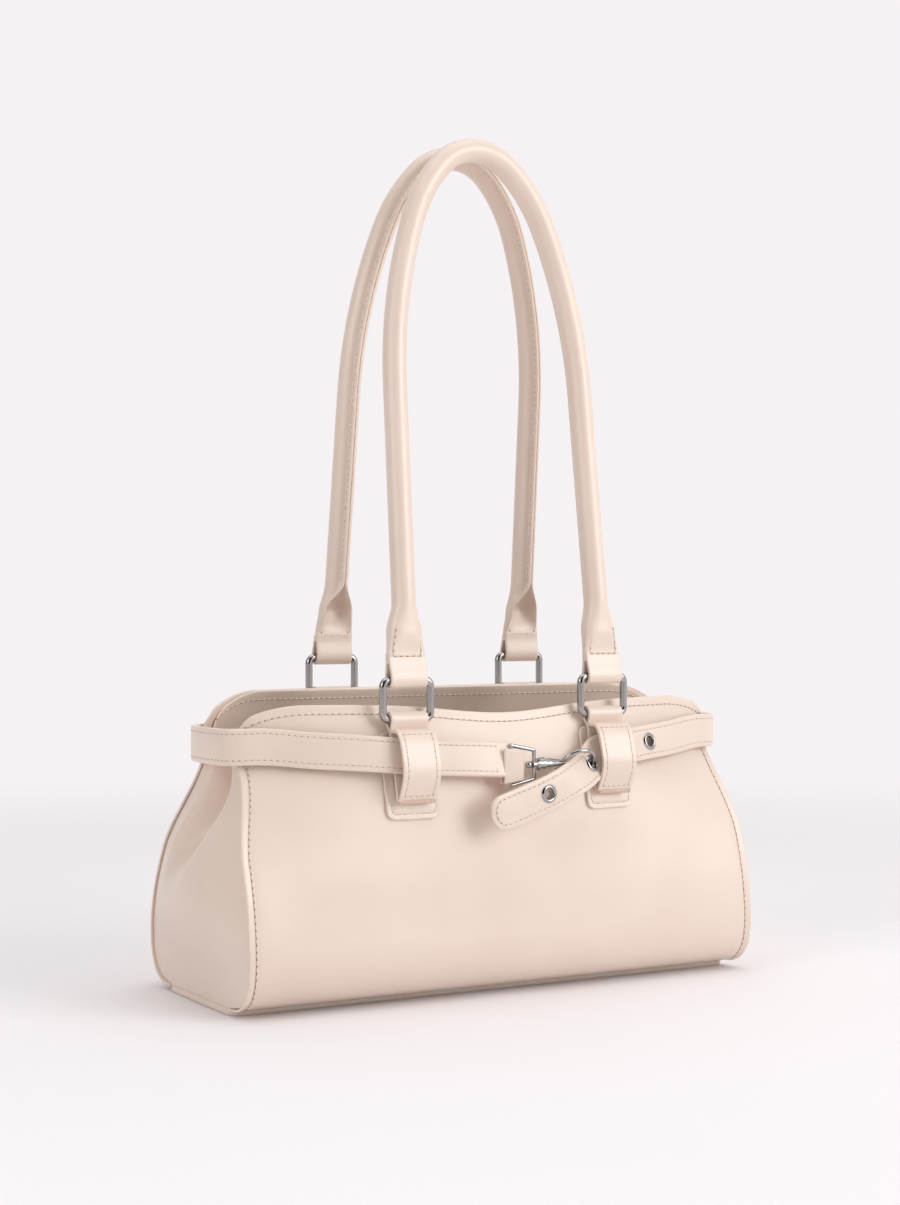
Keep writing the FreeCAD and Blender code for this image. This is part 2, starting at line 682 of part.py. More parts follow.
def tongue_stations():
    """Right end of the belt: out of the chape, on to the hook, then hanging in front of the clasp."""
    hooked = hooked_eyelet()
    start, start_facing = belt_station(FRONT, CHAPE_X)
    leaving = start * 0.55 + hooked * 0.45 + V(0, 0.67, 0.53) * BELT_THICK
    hanging = [((-0.18, -0.091, -0.081), (0.14, -0.95, 0.27)),
               ((-0.328, -0.125, -0.139), (0.1, -1.0, 0.06)),
               ((-0.492, -0.147, -0.197), (0.04, -1.0, 0.0)),
               ((-0.734, -0.156, -0.275), (0.0, -1.0, 0.0)),
               ((-1.0, -0.166, -0.353), (0.0, -1.0, 0.0))]
    stations = [(start, start_facing), (leaving, tilted(13)), (hooked, V(0.4, -0.85, 0.5))]
    return stations + [(hooked + V(*way) * TONGUE_REACH, V(*facing_way)) for way, facing_way in hanging]


def belt_stations():
    beyond = spread(CHAPE_X, BELT_TURN, 5)
    left = [-BELT_FOLD_LENGTH / 2, -0.4 * CHAPE_X, -0.7 * CHAPE_X] + [-x for x in beyond]
    behind = [-x for x in reversed(beyond)] + [-CHAPE_X / 2, 0.0, CHAPE_X / 2] + beyond
    right = [BELT_TURN, (BELT_TURN + RIGHT_EYELET_X) / 2, RIGHT_EYELET_X, (RIGHT_EYELET_X + CHAPE_X) / 2]
    stations = [belt_station(FRONT, x) for x in left] + belt_turn(LEFT)
    stations += [belt_station(BACK, x) for x in behind] + belt_turn(RIGHT)[::-1]
    return stations + [belt_station(FRONT, x) for x in right] + tongue_stations()


def belt_curve():
    """Middle line of the belt, with the length along it and the facing at each station."""
    stations = belt_stations()
    lengths = [0.0]
    for before, after in zip(stations, stations[1:]):
        lengths.append(lengths[-1] + (after[0] - before[0]).Length)
    middle = Part.BSplineCurve()
    middle.interpolate(Points=[point for point, facing_way in stations], Parameters=lengths)
    return middle, lengths, [facing_way for point, facing_way in stations]


def facing_at(length, lengths, facing_ways):
    for index in range(1, len(lengths)):
        if length <= lengths[index]:
            break
    share = smooth((length - lengths[index - 1]) / (lengths[index] - lengths[index - 1]))
    return facing_ways[index - 1] * (1 - share) + facing_ways[index] * share


def belt_frame(curve, length):
    """Directions along, up and out of the belt at a length along it."""
    middle, lengths, facing_ways = curve
    along = middle.tangent(length)[0]
    up = along.cross(facing_at(length, lengths, facing_ways)).normalize()
    return along, up, up.cross(along).normalize()


def belt_section(curve, length, width):
    point = curve[0].value(length)
    along, up, out = belt_frame(curve, length)
    high = up * (width / 2)
    thick = out * (BELT_THICK / 2)
    corners = [point - high - thick, point + high - thick, point + high + thick, point - high + thick]
    return Part.makePolygon(corners + corners[:1])


def eyelet_places():
    """Middle and axis of the three eyelets: free, hooked and hanging."""
    curve = belt_curve()
    count = len(curve[1])
    tongue = len(tongue_stations())
    places = []
    for index in (count - tongue - 2, count - tongue + 2, count - tongue + 5):
        along, up, out = belt_frame(curve, curve[1][index])
        places.append((curve[0].value(curve[1][index]), out))
    return places


def belt_fold():
    """Folded, tapered left end of the belt, and the pocket in it for the clasp loop's bar."""
    bar = clasp_axis_point() - V(CLASP_LOOP_LENGTH, 0, 0)
    pocket = CLASP_LOOP_WIRE + 2 * BAR_CLEARANCE
    thick = pocket + 2 * STRAP_THICK
    start = BELT_FOLD_END - BELT_FOLD_LENGTH
    tall = BELT_WIDTH / 2
    end = tall - BELT_FOLD_TAPER
    corners = [V(start, 0, -tall), V(BELT_FOLD_END, 0, -end), V(BELT_FOLD_END, 0, end), V(start, 0, tall)]
    fold = Part.Face(Part.makePolygon(corners + corners[:1])).extrude(V(0, thick, 0))
    nose = [edge for edge in fold.Edges if edge.Length > end and abs(edge.CenterOfMass.x - BELT_FOLD_END) < 0.01]
    fold = fold.makeFillet(thick / 2 - 0.1, nose)
    fold.translate(V(0, bar.y - thick / 2, bar.z))
    inner = BELT_FOLD_END - STRAP_THICK - BELT_FOLD_POCKET
    hole = Part.makeBox(BELT_FOLD_POCKET, pocket, CUT, V(inner, bar.y - pocket / 2, 0))
    return fold, hole


def belt():
    curve = belt_curve()
    tip = curve[1][-1]
    wires = []
    for length in spread(0.0, tip - TONGUE_ROUND, BELT_STEPS):
        wires.append(belt_section(curve, length, BELT_WIDTH))
    for share in (0.3, 0.55, 0.75, 0.9, 1.0):
        width = BELT_WIDTH * (1 - 0.75 * share ** 3)
        wires.append(belt_section(curve, tip - TONGUE_ROUND * (1 - share), width))
    strap = Part.makeLoft(wires, True, True)
    fold, hole = belt_fold()
    strap = strap.fuse(fold).cut(hole)
    for point, way in eyelet_places():
        strap = strap.cut(Part.makeCylinder(EYELET_BARREL / 2, 20, point - way * 10, way))
    return strap


def belt_eyelets():
    eyelets = []
    for point, way in eyelet_places():
        outer = BELT_THICK / 2 + LAYER_GAP
        barrel = Part.makeCylinder(EYELET_BARREL / 2 - 0.05, 2 * outer, point - way * outer, way)
        front_rim = Part.makeCylinder(EYELET_FLANGE / 2, EYELET_RIM, point + way * outer, way)
        back_rim = Part.makeCylinder(EYELET_FLANGE / 2, EYELET_RIM, point - way * outer, way * -1)
        hole = Part.makeCylinder(EYELET_HOLE / 2, 20, point - way * 10, way)
        eyelets.append(barrel.fuse([front_rim, back_rim]).cut(hole))
    return Part.makeCompound(eyelets)


def rod(start, end, radius):
    """Straight piece of wire with round ends."""
    way = end - start
    straight = Part.makeCylinder(radius, way.Length, start, way)
    return straight.fuse([Part.makeSphere(radius, start), Part.makeSphere(radius, end)])


def clasp_loop():
    """Wire loop held in the belt end, with an eye for the swivel pin in its short bar."""
    fold_share = (CLASP_BAR_X - BELT_FOLD_END + BELT_FOLD_LENGTH) / BELT_FOLD_LENGTH
    tall = BELT_WIDTH / 2 - BELT_FOLD_TAPER * fold_share + LOOP_ROOM + CLASP_LOOP_WIRE / 2
    short = CLASP_LOOP_SHORT / 2
    far = -CLASP_LOOP_LENGTH
    corners = [V(far, 0, -tall), V(far, 0, tall), V(0, 0, short), V(0, 0, -short)]
    frame = None
    for start, end in zip(corners, corners[1:] + corners[:1]):
        piece = rod(start, end, CLASP_LOOP_WIRE / 2)
        frame = piece if frame is None else frame.fuse(piece)
    boss = Part.makeCylinder(BOSS_RADIUS, BOSS_LENGTH, V(-BOSS_LENGTH / 2, 0, 0), V(1, 0, 0))
    hole = Part.makeCylinder(PIN_RADIUS + PIN_CLEARANCE, BOSS_LENGTH * 2, V(-BOSS_LENGTH, 0, 0), V(1, 0, 0))
    loop = frame.fuse(boss).cut(hole)
    loop.translate(clasp_axis_point())
    return loop


def placed_clasp(shape):
    """Turn a shape built along its own axis, hook plane flat, into its place on the bag."""
    origin = clasp_place(0, 0, 0)
    up = clasp_place(0, 1, 0) - origin
    out = clasp_place(0, 0, 1) - origin
    matrix = FreeCAD.Matrix(1, up.x, out.x, origin.x, 0, up.y, out.y, origin.y, 0, up.z, out.z, origin.z, 0, 0, 0, 1)
    shape.Placement = FreeCAD.Placement(matrix).multiply(shape.Placement)
    return shape


def clasp_swivel_pin():
    """Pin with a ball head, turned in one piece."""
    middle = -BOSS_LENGTH / 2 - CHEEK_GAP - PIN_HEAD_RADIUS
    neck = middle + math.sqrt(PIN_HEAD_RADIUS ** 2 - PIN_RADIUS ** 2)
    start = V(middle - PIN_HEAD_RADIUS, 0, 0)
    end = V(PIN_END, PIN_RADIUS, 0)
    head = Part.Arc(start, V(middle, PIN_HEAD_RADIUS, 0), V(neck, PIN_RADIUS, 0)).toShape()
    shank = line(V(neck, PIN_RADIUS, 0), end)
    profile = Part.Wire([head, shank, line(end, V(PIN_END, 0, 0)), line(V(PIN_END, 0, 0), start)])
    return placed_clasp(Part.Face(profile).revolve(V(0, 0, 0), V(1, 0, 0), 360))


def gate_hinge():
    along, up = on_hook(HOOK_RADIUS, GATE_HINGE_ANGLE)
    return V(along, up, 0)


def across_cylinder(radius, thick, middle):
    return Part.makeCylinder(radius, thick, middle - V(0, 0, thick / 2), V(0, 0, 1))


def clasp_hook():
    """Bell and turned body with the round hook, and two cheeks for the gate pin."""
    bell = BOSS_LENGTH / 2 + CHEEK_GAP
    neck = bell + BELL_LENGTH
    outline = [(bell, 0), (bell, 0.5 * BELL_RADIUS), (bell + 1, 0.9 * BELL_RADIUS), (neck - 0.5, BELL_RADIUS),
               (neck, BELL_RADIUS), (neck, 0.85 * BODY_RADIUS), (neck + 3.5, BODY_RADIUS),
               (neck + 7.5, 0.8 * BODY_RADIUS), (BODY_END, 0.6 * BODY_RADIUS), (BODY_END, 0), (bell, 0)]
    profile = Part.makePolygon([V(along, radius, 0) for along, radius in outline])
    body = Part.Face(profile).revolve(V(0, 0, 0), V(1, 0, 0), 360)
    sweep = HOOK_START_ANGLE - HOOK_END_ANGLE
    bow = Part.makeTorus(HOOK_RADIUS, HOOK_WIRE / 2, V(0, 0, 0), V(0, 0, 1), -180, 180, sweep)
    bow.rotate(V(0, 0, 0), V(0, 0, 1), HOOK_END_ANGLE)
    bow.translate(V(HOOK_MIDDLE, 0, 0))
    tip_along, tip_up = on_hook(HOOK_RADIUS, HOOK_END_ANGLE)
    tip = Part.makeSphere(HOOK_WIRE / 2, V(tip_along, tip_up, 0))
    hinge = gate_hinge()
    fork = GATE_EYE_THICK + 2 * CHEEK_GAP
    outside = fork + 2 * CHEEK_THICK
    cheeks = across_cylinder(CHEEK_RADIUS, outside, hinge)
    web = across_cylinder(CHEEK_RADIUS, outside, hinge * 0.9 + V(0, 1.8, 0))
    hook = body.fuse([bow, tip, cheeks, web])
    slot = across_cylinder(GATE_EYE_RADIUS + 3 * CHEEK_GAP, fork, hinge)
    pin_hole = across_cylinder(GATE_PIN_RADIUS + GATE_PIN_CLEARANCE, outside * 2, hinge)
    shank_hole = Part.makeCylinder(PIN_RADIUS + PIN_CLEARANCE, PIN_END, V(0, 0, 0), V(1, 0, 0))
    pocket = Part.makeCylinder(SPRING_RADIUS + LAYER_GAP, SPRING_LENGTH + 2 * LAYER_GAP,
                               V(SPRING_START - LAYER_GAP, 0, 0), V(1, 0, 0))
    return placed_clasp(hook.cut([slot, pin_hole, shank_hole, pocket]))


def gate_tip():
    inset = HOOK_WIRE / 2 + GATE_RADIUS + GATE_GAP
    along, up = on_hook(HOOK_RADIUS - inset, GATE_TIP_ANGLE)
    return V(along, up, 0)


def clasp_gate():
    """Lever that closes the hook from inside; the thumb knob swings it in."""
    hinge = gate_hinge()
    tip = gate_tip()
    way = tip - hinge
    lever = Part.makeCylinder(GATE_RADIUS, way.Length, hinge, way)
    rounded = Part.makeSphere(GATE_RADIUS, tip)
    eye = across_cylinder(GATE_EYE_RADIUS, GATE_EYE_THICK, hinge)
    outside = V(way.y, -way.x, 0).normalize()
    knob = Part.makeSphere(THUMB_RADIUS, hinge + way * 0.52 + outside * (GATE_RADIUS + 0.4))
    hole = across_cylinder(GATE_PIN_RADIUS + GATE_PIN_CLEARANCE, CUT, hinge)
    return placed_clasp(lever.fuse([rounded, eye, knob]).cut(hole))


def clasp_gate_pin():
    length = GATE_EYE_THICK + 2 * CHEEK_GAP + 2 * CHEEK_THICK
    return placed_clasp(across_cylinder(GATE_PIN_RADIUS, length, gate_hinge()))


def clasp_gate_spring():
    start = V(SPRING_START, 0, 0)
    coil = Part.makeCylinder(SPRING_RADIUS, SPRING_LENGTH, start, V(1, 0, 0))
    inside = Part.makeCylinder(SPRING_RADIUS - SPRING_WIRE, SPRING_LENGTH, start, V(1, 0, 0))
    return placed_clasp(coil.cut(inside))


def snap_half(side, lengths_and_radii):
    """Round snap part riveted to a facing, stacked inwards from it."""
    z = rim(side, 0) - SNAP_BELOW_RIM
    inward = outward(side, 0, z) * -1
    start = surface(side, 0, z, INSIDE - FACING_THICK - LAYER_GAP)
    shape = None
    for length, radius in lengths_and_radii:
        disc = Part.makeCylinder(radius, length, start, inward)
        shape = disc if shape is None else shape.fuse(disc)
        start = start + inward * length
    return shape


nodes = {
    "front_panel": panel(FRONT),
    "back_panel": panel(BACK),
    "left_gusset": gusset(LEFT),
    "right_gusset": gusset(RIGHT),
    "base_welt": base_welt(),
    "base_panel": inside_welt(0.0, BASE_THICK, LAYER_GAP),
    "base_board": inside_welt(BASE_THICK + LAYER_GAP, BASE_THICK + LAYER_GAP + BOARD_THICK, LAYER_GAP),
    "base_lining": inside_welt(BASE_THICK + BOARD_THICK + 2 * LAYER_GAP,
                               BASE_THICK + BOARD_THICK + 2 * LAYER_GAP + LINING_THICK, LAYER_GAP),
    "front_facing": facing(FRONT),
    "back_facing": facing(BACK),
    "front_lining": panel_lining(FRONT),
    "back_lining": panel_lining(BACK),
    "left_lining": gusset_lining(LEFT),
    "right_lining": gusset_lining(RIGHT),
    "snap_socket": snap_half(FRONT, [(SNAP_THICK, SNAP_RADIUS)]),
    "snap_stud": snap_half(BACK, [(SNAP_THICK / 2, SNAP_RADIUS), (STUD_LENGTH, STUD_RADIUS)]),
    "belt": belt(),
    "belt_eyelets": belt_eyelets(),
    "clasp_loop": clasp_loop(),
    "clasp_swivel_pin": clasp_swivel_pin(),
    "clasp_hook": clasp_hook(),
    "clasp_gate": clasp_gate(),
    "clasp_gate_pin": clasp_gate_pin(),
    "clasp_gate_spring": clasp_gate_spring(),
}

for side, side_name in ((FRONT, "front"), (BACK, "back")):
    nodes[side_name + "_handle_cover"] = handle_cover(side)
    nodes[side_name + "_handle_core"] = handle_core(side)
    for end, end_name in ((LEFT, "left"), (RIGHT, "right")):
        corner = side_name + "_" + end_name
        nodes[corner + "_patch"] = patch(side, end * CHAPE_X)
        nodes[corner + "_chape"] = chape(side, end * CHAPE_X)
        nodes[corner + "_ring"] = ring(side, end * CHAPE_X)

os.makedirs("parts", exist_ok=True)
for name, shape in nodes.items():
    shape.exportStep("parts/" + name + ".step")
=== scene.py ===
import math

import bpy
import numpy as np
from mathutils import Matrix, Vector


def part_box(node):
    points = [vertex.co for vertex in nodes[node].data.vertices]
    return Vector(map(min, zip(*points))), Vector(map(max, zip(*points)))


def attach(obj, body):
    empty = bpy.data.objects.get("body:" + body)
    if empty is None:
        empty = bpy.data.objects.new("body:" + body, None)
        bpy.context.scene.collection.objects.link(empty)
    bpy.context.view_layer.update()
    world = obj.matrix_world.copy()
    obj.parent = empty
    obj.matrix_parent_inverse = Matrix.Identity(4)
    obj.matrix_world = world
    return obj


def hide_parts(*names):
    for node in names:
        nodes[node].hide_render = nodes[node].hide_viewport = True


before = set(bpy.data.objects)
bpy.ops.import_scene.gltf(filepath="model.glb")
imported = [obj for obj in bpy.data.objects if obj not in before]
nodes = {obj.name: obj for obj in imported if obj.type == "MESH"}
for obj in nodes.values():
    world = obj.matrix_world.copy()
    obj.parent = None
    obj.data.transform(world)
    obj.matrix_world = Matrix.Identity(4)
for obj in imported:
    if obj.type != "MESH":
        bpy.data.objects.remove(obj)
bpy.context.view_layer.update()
bpy.ops.object.select_all(action="DESELECT")

# Room: a pale floor that runs on into a background of the same colour, soft studio light,
# and the camera, which stands low at the front left and looks level across the bag.
MM = 0.001
ROOM_COLOUR = "F6F2F4"
ROOM_STRENGTH = 0.86
FLOOR_COLOUR = "EFEBED"
FLOOR_PALE = "F2EEF0"
FLOOR_MOTTLE = 1000 / 3         # size of its soft spots
FLOOR_SIZE = 12.0
FLOOR_PLAIN_RADIUS = 0.45       # the floor keeps its shadows this near the bag
FLOOR_FADE_RADIUS = 1.3         # and is all background from here on
CAMERA_PLACE = (-0.5379, -0.9366, 0.1948)
CAMERA_TURN = math.radians(29.7)
PHOTO_HEIGHT = 1205
FOCAL_PIXELS = 2075
SENSOR = 36.0
BEHIND_CAMERA = (-math.sin(CAMERA_TURN), -math.cos(CAMERA_TURN), 0.25)
BEHIND_SHADES = ((0.68, "FFFFFF"), (0.88, "2E2C2B"))    # from light to dark towards that way
LEFT_OF_BAG = (-0.88, 0.47, 0)
LEFT_SHADES = ((0.45, "FFFFFF"), (0.9, "A09E9D"))


def linear(colour):
    """Linear red, green, blue and full alpha of an sRGB hex colour."""
    values = [int(colour[i:i + 2], 16) / 255 for i in (0, 2, 4)]
    return [v / 12.92 if v <= 0.04045 else ((v + 0.055) / 1.055) ** 2.4 for v in values] + [1.0]


def new_material(name, values):
    """A new material, with plain values on its shader."""
    material = bpy.data.materials.new(name)
    material.use_nodes = True
    shader = material.node_tree.nodes["Principled BSDF"]
    for socket, value in values.items():
        shader.inputs[socket].default_value = value
    return material, shader


def add_node(material, kind, inputs=None, ramp=(), **settings):
    """A new node with its settings, its colours, its values, and links from other nodes' sockets."""
    node = material.node_tree.nodes.new("ShaderNode" + kind)
    for name, value in settings.items():
        setattr(node, name, value)
    for element, (position, colour) in zip(node.color_ramp.elements if ramp else (), ramp):
        element.position = position
        element.color = linear(colour)
    for name, value in (inputs or {}).items():
        if isinstance(value, bpy.types.NodeSocket):
            material.node_tree.links.new(value, node.inputs[name])
        else:
            node.inputs[name].default_value = value
    return node


def link(material, socket, node, name):
    material.node_tree.links.new(socket, node.inputs[name])


def mottled_material(name, values, spot, dark, light, detail=2.0, ends=(0.0, 1.0)):
    """A new material of two colours that mingle in soft spots of about this size in mm."""
    material, shader = new_material(name, values)
    place = add_node(material, "TexCoord").outputs["Object"]
    spots = add_node(material, "TexNoise", {"Vector": place, "Scale": 1 / (spot * MM), "Detail": detail})
    ramp = ((ends[0], dark), (ends[1], light))
    colours = add_node(material, "ValToRGB", {"Fac": spots.outputs["Fac"]}, ramp)
    link(material, colours.outputs["Color"], shader, "Base Color")
    return material, shader, place, spots.outputs["Fac"]


# Painted board, matt, with a faint mottle; seen past the fade radius it is plain background.
floor_paint, floor_shader, place, _ = mottled_material(
    "matt_white_floor_paint", {"Roughness": 0.9, "Specular IOR Level": 0.1},
    FLOOR_MOTTLE, FLOOR_COLOUR, FLOOR_PALE)
away = add_node(floor_paint, "VectorMath", {0: place}, operation="LENGTH")
fade = add_node(floor_paint, "MapRange", {"Value": away.outputs["Value"], "From Min": FLOOR_PLAIN_RADIUS,
                                          "From Max": FLOOR_FADE_RADIUS}, interpolation_type="SMOOTHSTEP")
rays = add_node(floor_paint, "LightPath").outputs
seen = rays["Is Camera Ray"]
for other in ("Is Glossy Ray", "Is Transmission Ray"):
    seen = add_node(floor_paint, "Math", {0: seen, 1: rays[other]}, operation="MAXIMUM").outputs[0]
shown = add_node(floor_paint, "Math", {0: fade.outputs["Result"], 1: seen}, operation="MULTIPLY")
glow = add_node(floor_paint, "Emission", {"Color": linear(ROOM_COLOUR), "Strength": 1.0})
mixed = add_node(floor_paint, "MixShader",
                 {0: shown.outputs[0], 1: floor_shader.outputs[0], 2: glow.outputs[0]})
link(floor_paint, mixed.outputs[0], floor_paint.node_tree.nodes["Material Output"], "Surface")

bpy.ops.mesh.primitive_plane_add(size=FLOOR_SIZE)
floor = bpy.context.object
floor.name = "floor"
floor.data.materials.append(floor_paint)

world = bpy.data.worlds.new("studio")
bpy.context.scene.world = world
world.use_nodes = True
sky = world.node_tree.nodes["Background"]
sky.inputs["Strength"].default_value = ROOM_STRENGTH
# The room is darker behind the camera, which shows only as dark bands in the polished metal,
# and a little darker to the left, which leaves the folds at that end in shade.
way = add_node(world, "TexCoord").outputs["Generated"]
shades = []
for darker_way, ramp in ((BEHIND_CAMERA, BEHIND_SHADES), (LEFT_OF_BAG, LEFT_SHADES)):
    facing = add_node(world, "VectorMath", {0: way, 1: darker_way}, operation="DOT_PRODUCT")
    shades.append(add_node(world, "ValToRGB", {"Fac": facing.outputs["Value"]}, ramp).outputs["Color"])
room = add_node(world, "VectorMath", {0: shades[0], 1: shades[1]}, operation="MULTIPLY")
link(world, room.outputs["Vector"], sky, "Color")
rays = add_node(world, "LightPath").outputs
seen = add_node(world, "Math", {0: rays["Is Camera Ray"], 1: rays["Is Transmission Ray"]},
                operation="MAXIMUM")
backdrop = add_node(world, "Background", {"Color": linear(ROOM_COLOUR), "Strength": 1.0})
mixed = add_node(world, "MixShader", {0: seen.outputs[0], 1: sky.outputs[0], 2: backdrop.outputs[0]})
link(world, mixed.outputs[0], world.node_tree.nodes["World Output"], "Surface")

# Three soft lamps: name, place, the height above the floor that each points at, size and power.
for name, place, aim, size, watts in (("key_light", (1.0, -1.55, 0.85), 0.1, 1.1, 15.5),
                                      ("fill_light", (-1.75, -0.6, 0.9), 0.15, 1.0, 8.5),
                                      ("top_light", (0.0, 0.0, 2.0), 0.15, 1.5, 7)):
    bpy.ops.object.light_add(type="AREA", location=place)
    lamp = bpy.context.object
    lamp.name = name
    lamp.data.size = size
    lamp.data.energy = watts
    away = np.array(place) - (0, 0, aim)
    lamp.rotation_euler = (math.acos(away[2] / np.linalg.norm(away)), 0,
                           math.atan2(away[1], away[0]) + math.pi / 2)

bpy.ops.object.camera_add(location=CAMERA_PLACE, rotation=(math.pi / 2, 0, -CAMERA_TURN))
camera = bpy.context.object
camera.data.sensor_fit = "VERTICAL"
camera.data.sensor_height = SENSOR
camera.data.lens = SENSOR * FOCAL_PIXELS / PHOTO_HEIGHT
camera.data.clip_start = 0.01
bpy.context.scene.camera = camera
bpy.context.scene.view_settings.view_transform = "Standard"

# Base: the stiffened floor of the bag. A flat leather welt runs round its edge, a leather
# panel closes it below, and a board under the lining keeps it flat. All are glued and sewn.
BAG_WIDTH = 290.0
BASE_DEPTH = 81.0
WELT_HEIGHT = 3.2
WELT_WIDTH = 5.0
WELT_CORNER = 9.0
LINING_THICK = 0.8
LINING_CORNER = 4.0
LAYER_GAP = 0.2

# Corrected cow leather, cream: smooth and half glossy, with a very fine even grain that
# only just breaks up the highlights, and a faint cloudiness in the colour.
CREAM = "EBD8CA"
CREAM_DARK = "E6D2C3"
GRAIN_WIDTH = 0.7               # drawn a little coarser than real, so that it shows
CLOUD_WIDTH = 45.0
leather, shader, place, clouds = mottled_material(
    "smooth_cream_leather", {"IOR": 1.6, "Coat Weight": 0.35, "Coat Roughness": 0.33},
    CLOUD_WIDTH, CREAM_DARK, CREAM, detail=3.0, ends=(0.3, 0.7))
pores = add_node(leather, "TexVoronoi", {"Vector": place, "Scale": 1 / (GRAIN_WIDTH * MM)},
                 feature="SMOOTH_F1")
fibres = add_node(leather, "TexNoise", {"Vector": place, "Scale": 2.5 / (GRAIN_WIDTH * MM), "Detail": 2.0})
grain = add_node(leather, "Math", {0: pores.outputs["Distance"], 1: fibres.outputs["Fac"]}, operation="ADD")
bump = add_node(leather, "Bump", {"Height": grain.outputs[0], "Strength": 0.2, "Distance": 0.1 * MM})
link(leather, bump.outputs["Normal"], shader, "Normal")
polish = add_node(leather, "MapRange", {"Value": clouds, "To Min": 0.34, "To Max": 0.42})
link(leather, polish.outputs["Result"], shader, "Roughness")

# Cotton lining, plain weave, beige and matt: the crossing threads show as a fine check.
LINING_THREAD = 0.9             # thread spacing, drawn coarser than real, so that it shows
BAND_SPACING = 0.314            # of a wave pattern of scale 1
lining_cloth, shader = new_material("plain_weave_cotton", {"Roughness": 0.85})
place = add_node(lining_cloth, "TexCoord").outputs["Object"]
threads = {"Vector": place, "Scale": BAND_SPACING / (LINING_THREAD * MM)}
warp, weft = (add_node(lining_cloth, "TexWave", threads, bands_direction=way).outputs["Fac"]
              for way in ("X", "Z"))
weave = add_node(lining_cloth, "Math", {0: warp, 1: weft}, operation="MULTIPLY").outputs[0]
beige = add_node(lining_cloth, "ValToRGB", {"Fac": weave}, ((0.0, "AD967F"), (1.0, "C8B29C")))
link(lining_cloth, beige.outputs["Color"], shader, "Base Color")
bump = add_node(lining_cloth, "Bump", {"Height": weave, "Strength": 0.4, "Distance": 0.15 * MM})
link(lining_cloth, bump.outputs["Normal"], shader, "Normal")

# Grey-brown board, pressed from pulp: short flecks of fibre, no gloss.
board, *_ = mottled_material("pressed_fibre_board", {"Roughness": 0.9},
                             spot=1.5, dark="85715C", light="A08B74", detail=4.0)


def coat(piece, material):
    piece.data.materials.clear()
    piece.data.materials.append(material)


def dress(piece, name, material, body, slot, *replaced):
    """Name a finished piece, give it its material and fix it to its body."""
    piece.name = name
    piece.data.name = name
    coat(piece, material)
    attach(piece, body)
    if replaced:
        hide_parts(*replaced)
    return piece


def pick(*pieces):
    """Select these pieces alone, the first of them active."""
    bpy.ops.object.select_all(action="DESELECT")
    for piece in pieces:
        piece.select_set(True)
    bpy.context.view_layer.objects.active = pieces[0]


def apply_modifier(piece, kind, **settings):
    pick(piece)
    modifier = piece.modifiers.new(kind, kind)
    for name, value in settings.items():
        setattr(modifier, name, value)
    bpy.ops.object.modifier_apply(modifier=modifier.name)


def smooth_by_angle(piece, degrees=40):
    pick(piece)
    bpy.ops.object.shade_smooth_by_angle(angle=math.radians(degrees))


def soften_edges(piece, edge, degrees):
    """Round a piece's edges that are sharper than an angle, and smooth it."""
    apply_modifier(piece, "BEVEL", width=edge * MM, segments=3, limit_method="ANGLE",
                   angle_limit=math.radians(degrees))
    smooth_by_angle(piece)
    return piece


def cut_out(piece, cutter):
    apply_modifier(piece, "BOOLEAN", object=cutter, operation="DIFFERENCE", solver="EXACT")
    bpy.data.objects.remove(cutter)


def base_plate(width, depth, low, high, corner, edge):
    """Flat plate with rounded corners and softened edges, from a plane, all sizes in mm."""
    bpy.ops.object.select_all(action="DESELECT")
    bpy.ops.mesh.primitive_plane_add(size=1, location=(0, 0, low * MM))
    plate = bpy.context.object
    plate.scale = (width * MM, depth * MM, 1)
    bpy.ops.object.transform_apply(location=True, scale=True)
    bpy.ops.object.mode_set(mode="EDIT")
    bpy.ops.mesh.select_all(action="SELECT")
    bpy.ops.mesh.bevel(offset=corner * MM, segments=8, affect="VERTICES")
    bpy.ops.mesh.select_all(action="SELECT")
    bpy.ops.mesh.extrude_region_move(TRANSFORM_OT_translate={"value": (0, 0, (high - low) * MM)})
    bpy.ops.mesh.select_all(action="SELECT")
    bpy.ops.mesh.normals_make_consistent(inside=False)
    bpy.ops.object.mode_set(mode="OBJECT")
    return soften_edges(plate, edge, 60)


welt = base_plate(BAG_WIDTH, BASE_DEPTH, 0, WELT_HEIGHT, WELT_CORNER, 1.2)
hole = base_plate(BAG_WIDTH - 2 * WELT_WIDTH, BASE_DEPTH - 2 * WELT_WIDTH, -1, WELT_HEIGHT + 1,
                  WELT_CORNER - WELT_WIDTH, 0.1)
cut_out(welt, hole)
smooth_by_angle(welt)
dress(welt, "leather_base_welt", leather, "bag", "leather", "base_welt")

inner_width = BAG_WIDTH - 2 * WELT_WIDTH - 2 * LAYER_GAP
inner_depth = BASE_DEPTH - 2 * WELT_WIDTH - 2 * LAYER_GAP
low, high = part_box("base_panel")
panel = base_plate(inner_width, inner_depth, low.z / MM, high.z / MM, WELT_CORNER - WELT_WIDTH, 0.5)
dress(panel, "leather_base", leather, "bag", "leather", "base_panel")
low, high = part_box("base_lining")
cloth = base_plate((high.x - low.x) / MM, (high.y - low.y) / MM, low.z / MM, high.z / MM, LINING_CORNER, 0.2)
dress(cloth, "cloth_base_lining", lining_cloth, "bag", "lining_cloth", "base_lining")
coat(nodes["base_board"], board)

